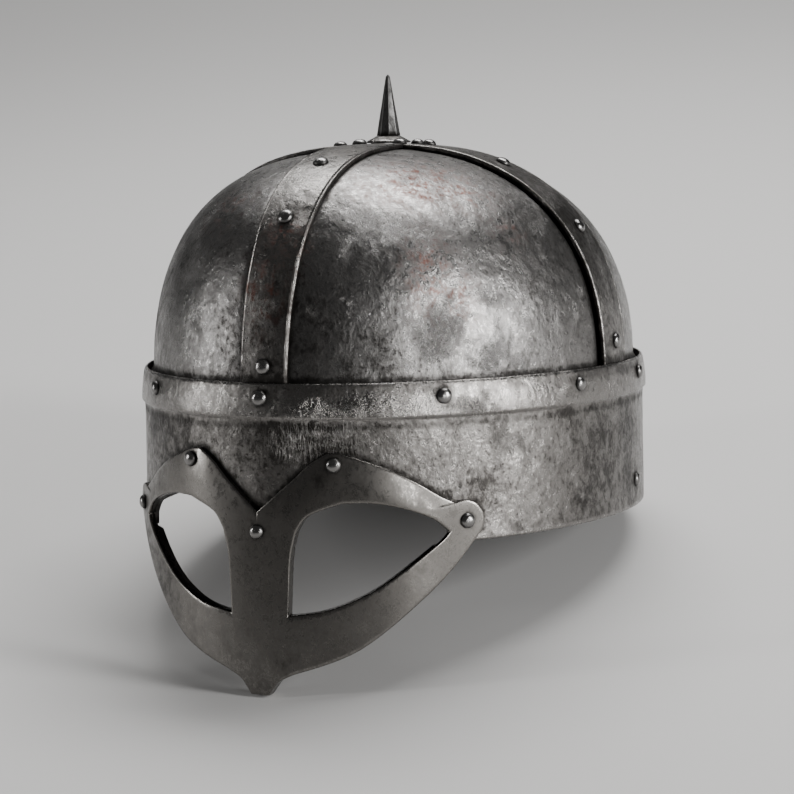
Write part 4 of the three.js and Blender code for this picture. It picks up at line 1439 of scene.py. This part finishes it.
def make_spike():
    shaft = np.linspace(SPIKE_BASE, SPIKE_TIP - TIP_HEIGHT, SPIKE_ROWS)
    heights = np.concatenate([shaft, SPIKE_TIP - TIP_STEPS])
    points = np.array([spike_ring(height) for height in heights])
    points[..., :2] *= 1 + SPIKE_UNEVENNESS * lattice_noise(points, 5.0, 12)[..., None]
    vertices, faces = loft(points)
    placed = crown_piece(vertices)
    on_ridge = np.tile(np.abs(RIDGE_STEPS) < 0.07, SPIKE_SIDES)
    paint = paint_common(placed)
    # A painted highlight with wear on the ridges, and painted shade at the foot
    paint["wear_and_highlight"] = 0.8 * np.broadcast_to(on_ridge, points.shape[:-1]).ravel()
    paint["grime_and_shade"] = nearness(vertices[:, 2] - SPIKE_BASE, 1.4)
    paint["stain_and_shade"] = np.full(len(vertices), 0.25)
    stand_in("spike", placed, faces, placed.mean(axis=0), spike_iron, paint)


make_washer()
make_spike()

# Floor
FLOOR_SIZE = 40.0
FLOOR_TONE = (0.56, 0.552, 0.543, 1)
FLOOR_ROUGHNESS = 0.85


def make_floor():
    mesh = bpy.data.meshes.new("floor")
    half = FLOOR_SIZE / 2
    corners = [(-half, -half, 0), (half, -half, 0), (half, half, 0), (-half, half, 0)]
    mesh.from_pydata(corners, [], [(0, 1, 2, 3)])
    floor = bpy.data.objects.new("floor", mesh)
    bpy.context.scene.collection.objects.link(floor)
    tree = Tree("floor_paper")
    tree.put(tree.shader.inputs["Base Color"], FLOOR_TONE)
    tree.put(tree.shader.inputs["Roughness"], FLOOR_ROUGHNESS)
    mesh.materials.append(tree.material)


make_floor()

# Lights: soft boxes to the right, left, front and above, placed round the helmet by angles in degrees and a
# distance in metres, and a broad one that faces down over the floor behind
SOFT_BOXES = table(("name", "azimuth", "elevation", "distance", "width", "height", "power"), [
    ("box_right", 84, 12, 1.3, 0.2, 0.6, 19),
    ("box_left", -64, 12, 1.3, 0.07, 0.5, 5.2),
    ("box_front", 56, 7, 1.6, 0.16, 0.3, 4.5),
    ("box_top", 172, 62, 1.3, 1.3, 0.36, 21),
])
AIM = np.array([0.0, 0.0, 0.1])
FAR_BOX_SIZE = (3.0, 2.0)
FAR_BOX_POWER = 46
FAR_BOX_PLACE = (-0.7, 2.2, 2.2)
WORLD_TONE = (0.5, 0.5, 0.5, 1)
WORLD_STRENGTH = 0.17


def direction_at(azimuth, elevation):
    a, e = math.radians(azimuth), math.radians(elevation)
    return np.array([math.sin(a) * math.cos(e), -math.cos(a) * math.cos(e), math.sin(e)])


def look_matrix(place, target):
    back = place - target
    back = back / np.linalg.norm(back)
    right = np.cross((0.0, 0.0, 1.0), back)
    right = right / np.linalg.norm(right)
    up = np.cross(back, right)
    turned = np.eye(4)
    turned[:3, 0], turned[:3, 1], turned[:3, 2], turned[:3, 3] = right, up, back, place
    return Matrix(turned.tolist())


def area_light(name, width, height, power):
    light = bpy.data.lights.new(name, "AREA")
    light.shape = "RECTANGLE"
    light.size = width
    light.size_y = height
    light.energy = power
    box = bpy.data.objects.new(name, light)
    bpy.context.scene.collection.objects.link(box)
    return box


def make_lights():
    for row in SOFT_BOXES:
        box = area_light(row["name"], row["width"], row["height"], row["power"])
        place = AIM + direction_at(row["azimuth"], row["elevation"]) * row["distance"]
        box.matrix_world = look_matrix(place, AIM)
    far_box = area_light("box_far", *FAR_BOX_SIZE, FAR_BOX_POWER)
    far_box.location = FAR_BOX_PLACE


def make_world():
    world = bpy.data.worlds.new("studio")
    world.use_nodes = True
    background = world.node_tree.nodes["Background"]
    background.inputs["Color"].default_value = WORLD_TONE
    background.inputs["Strength"].default_value = WORLD_STRENGTH
    bpy.context.scene.world = world
    bpy.context.scene.view_settings.look = "AgX - Base Contrast"


make_lights()
make_world()

# Camera, set in the level frame and leaned back with the helmet
CAMERA_AZIMUTH = 24.427
CAMERA_ELEVATION = 4.805
CAMERA_DISTANCE = 927.775
CAMERA_YAW = math.radians(0.074)
CAMERA_PITCH = math.radians(-0.997)
CAMERA_ROLL = math.radians(-0.777)
CAMERA_LENS = 100.17
CAMERA_SENSOR = 36.0
CAMERA_CLIP = (0.05, 100)


def make_camera():
    back = direction_at(CAMERA_AZIMUTH, CAMERA_ELEVATION)
    place = back * CAMERA_DISTANCE + CENTRE
    forward = -back
    right = np.cross(forward, (0.0, 0.0, 1.0))
    right = right / np.linalg.norm(right)
    up = np.cross(right, forward)
    forward = forward * math.cos(CAMERA_YAW) + right * math.sin(CAMERA_YAW)
    right = np.cross(forward, up)
    tipped = forward * math.cos(CAMERA_PITCH) + up * math.sin(CAMERA_PITCH)
    up = np.cross(right, tipped)
    rolled = right * math.cos(CAMERA_ROLL) + up * math.sin(CAMERA_ROLL)
    up = up * math.cos(CAMERA_ROLL) - right * math.sin(CAMERA_ROLL)
    turned = np.eye(4)
    turned[:3, 0], turned[:3, 1], turned[:3, 2] = TILT @ rolled, TILT @ up, TILT @ -tipped
    turned[:3, 3] = to_world(place)
    lens = bpy.data.cameras.new("camera")
    lens.lens = CAMERA_LENS
    lens.sensor_width = CAMERA_SENSOR
    lens.clip_start, lens.clip_end = CAMERA_CLIP
    camera = bpy.data.objects.new("camera", lens)
    camera.matrix_world = Matrix(turned.tolist())
    bpy.context.scene.collection.objects.link(camera)
    bpy.context.scene.camera = camera


make_camera()
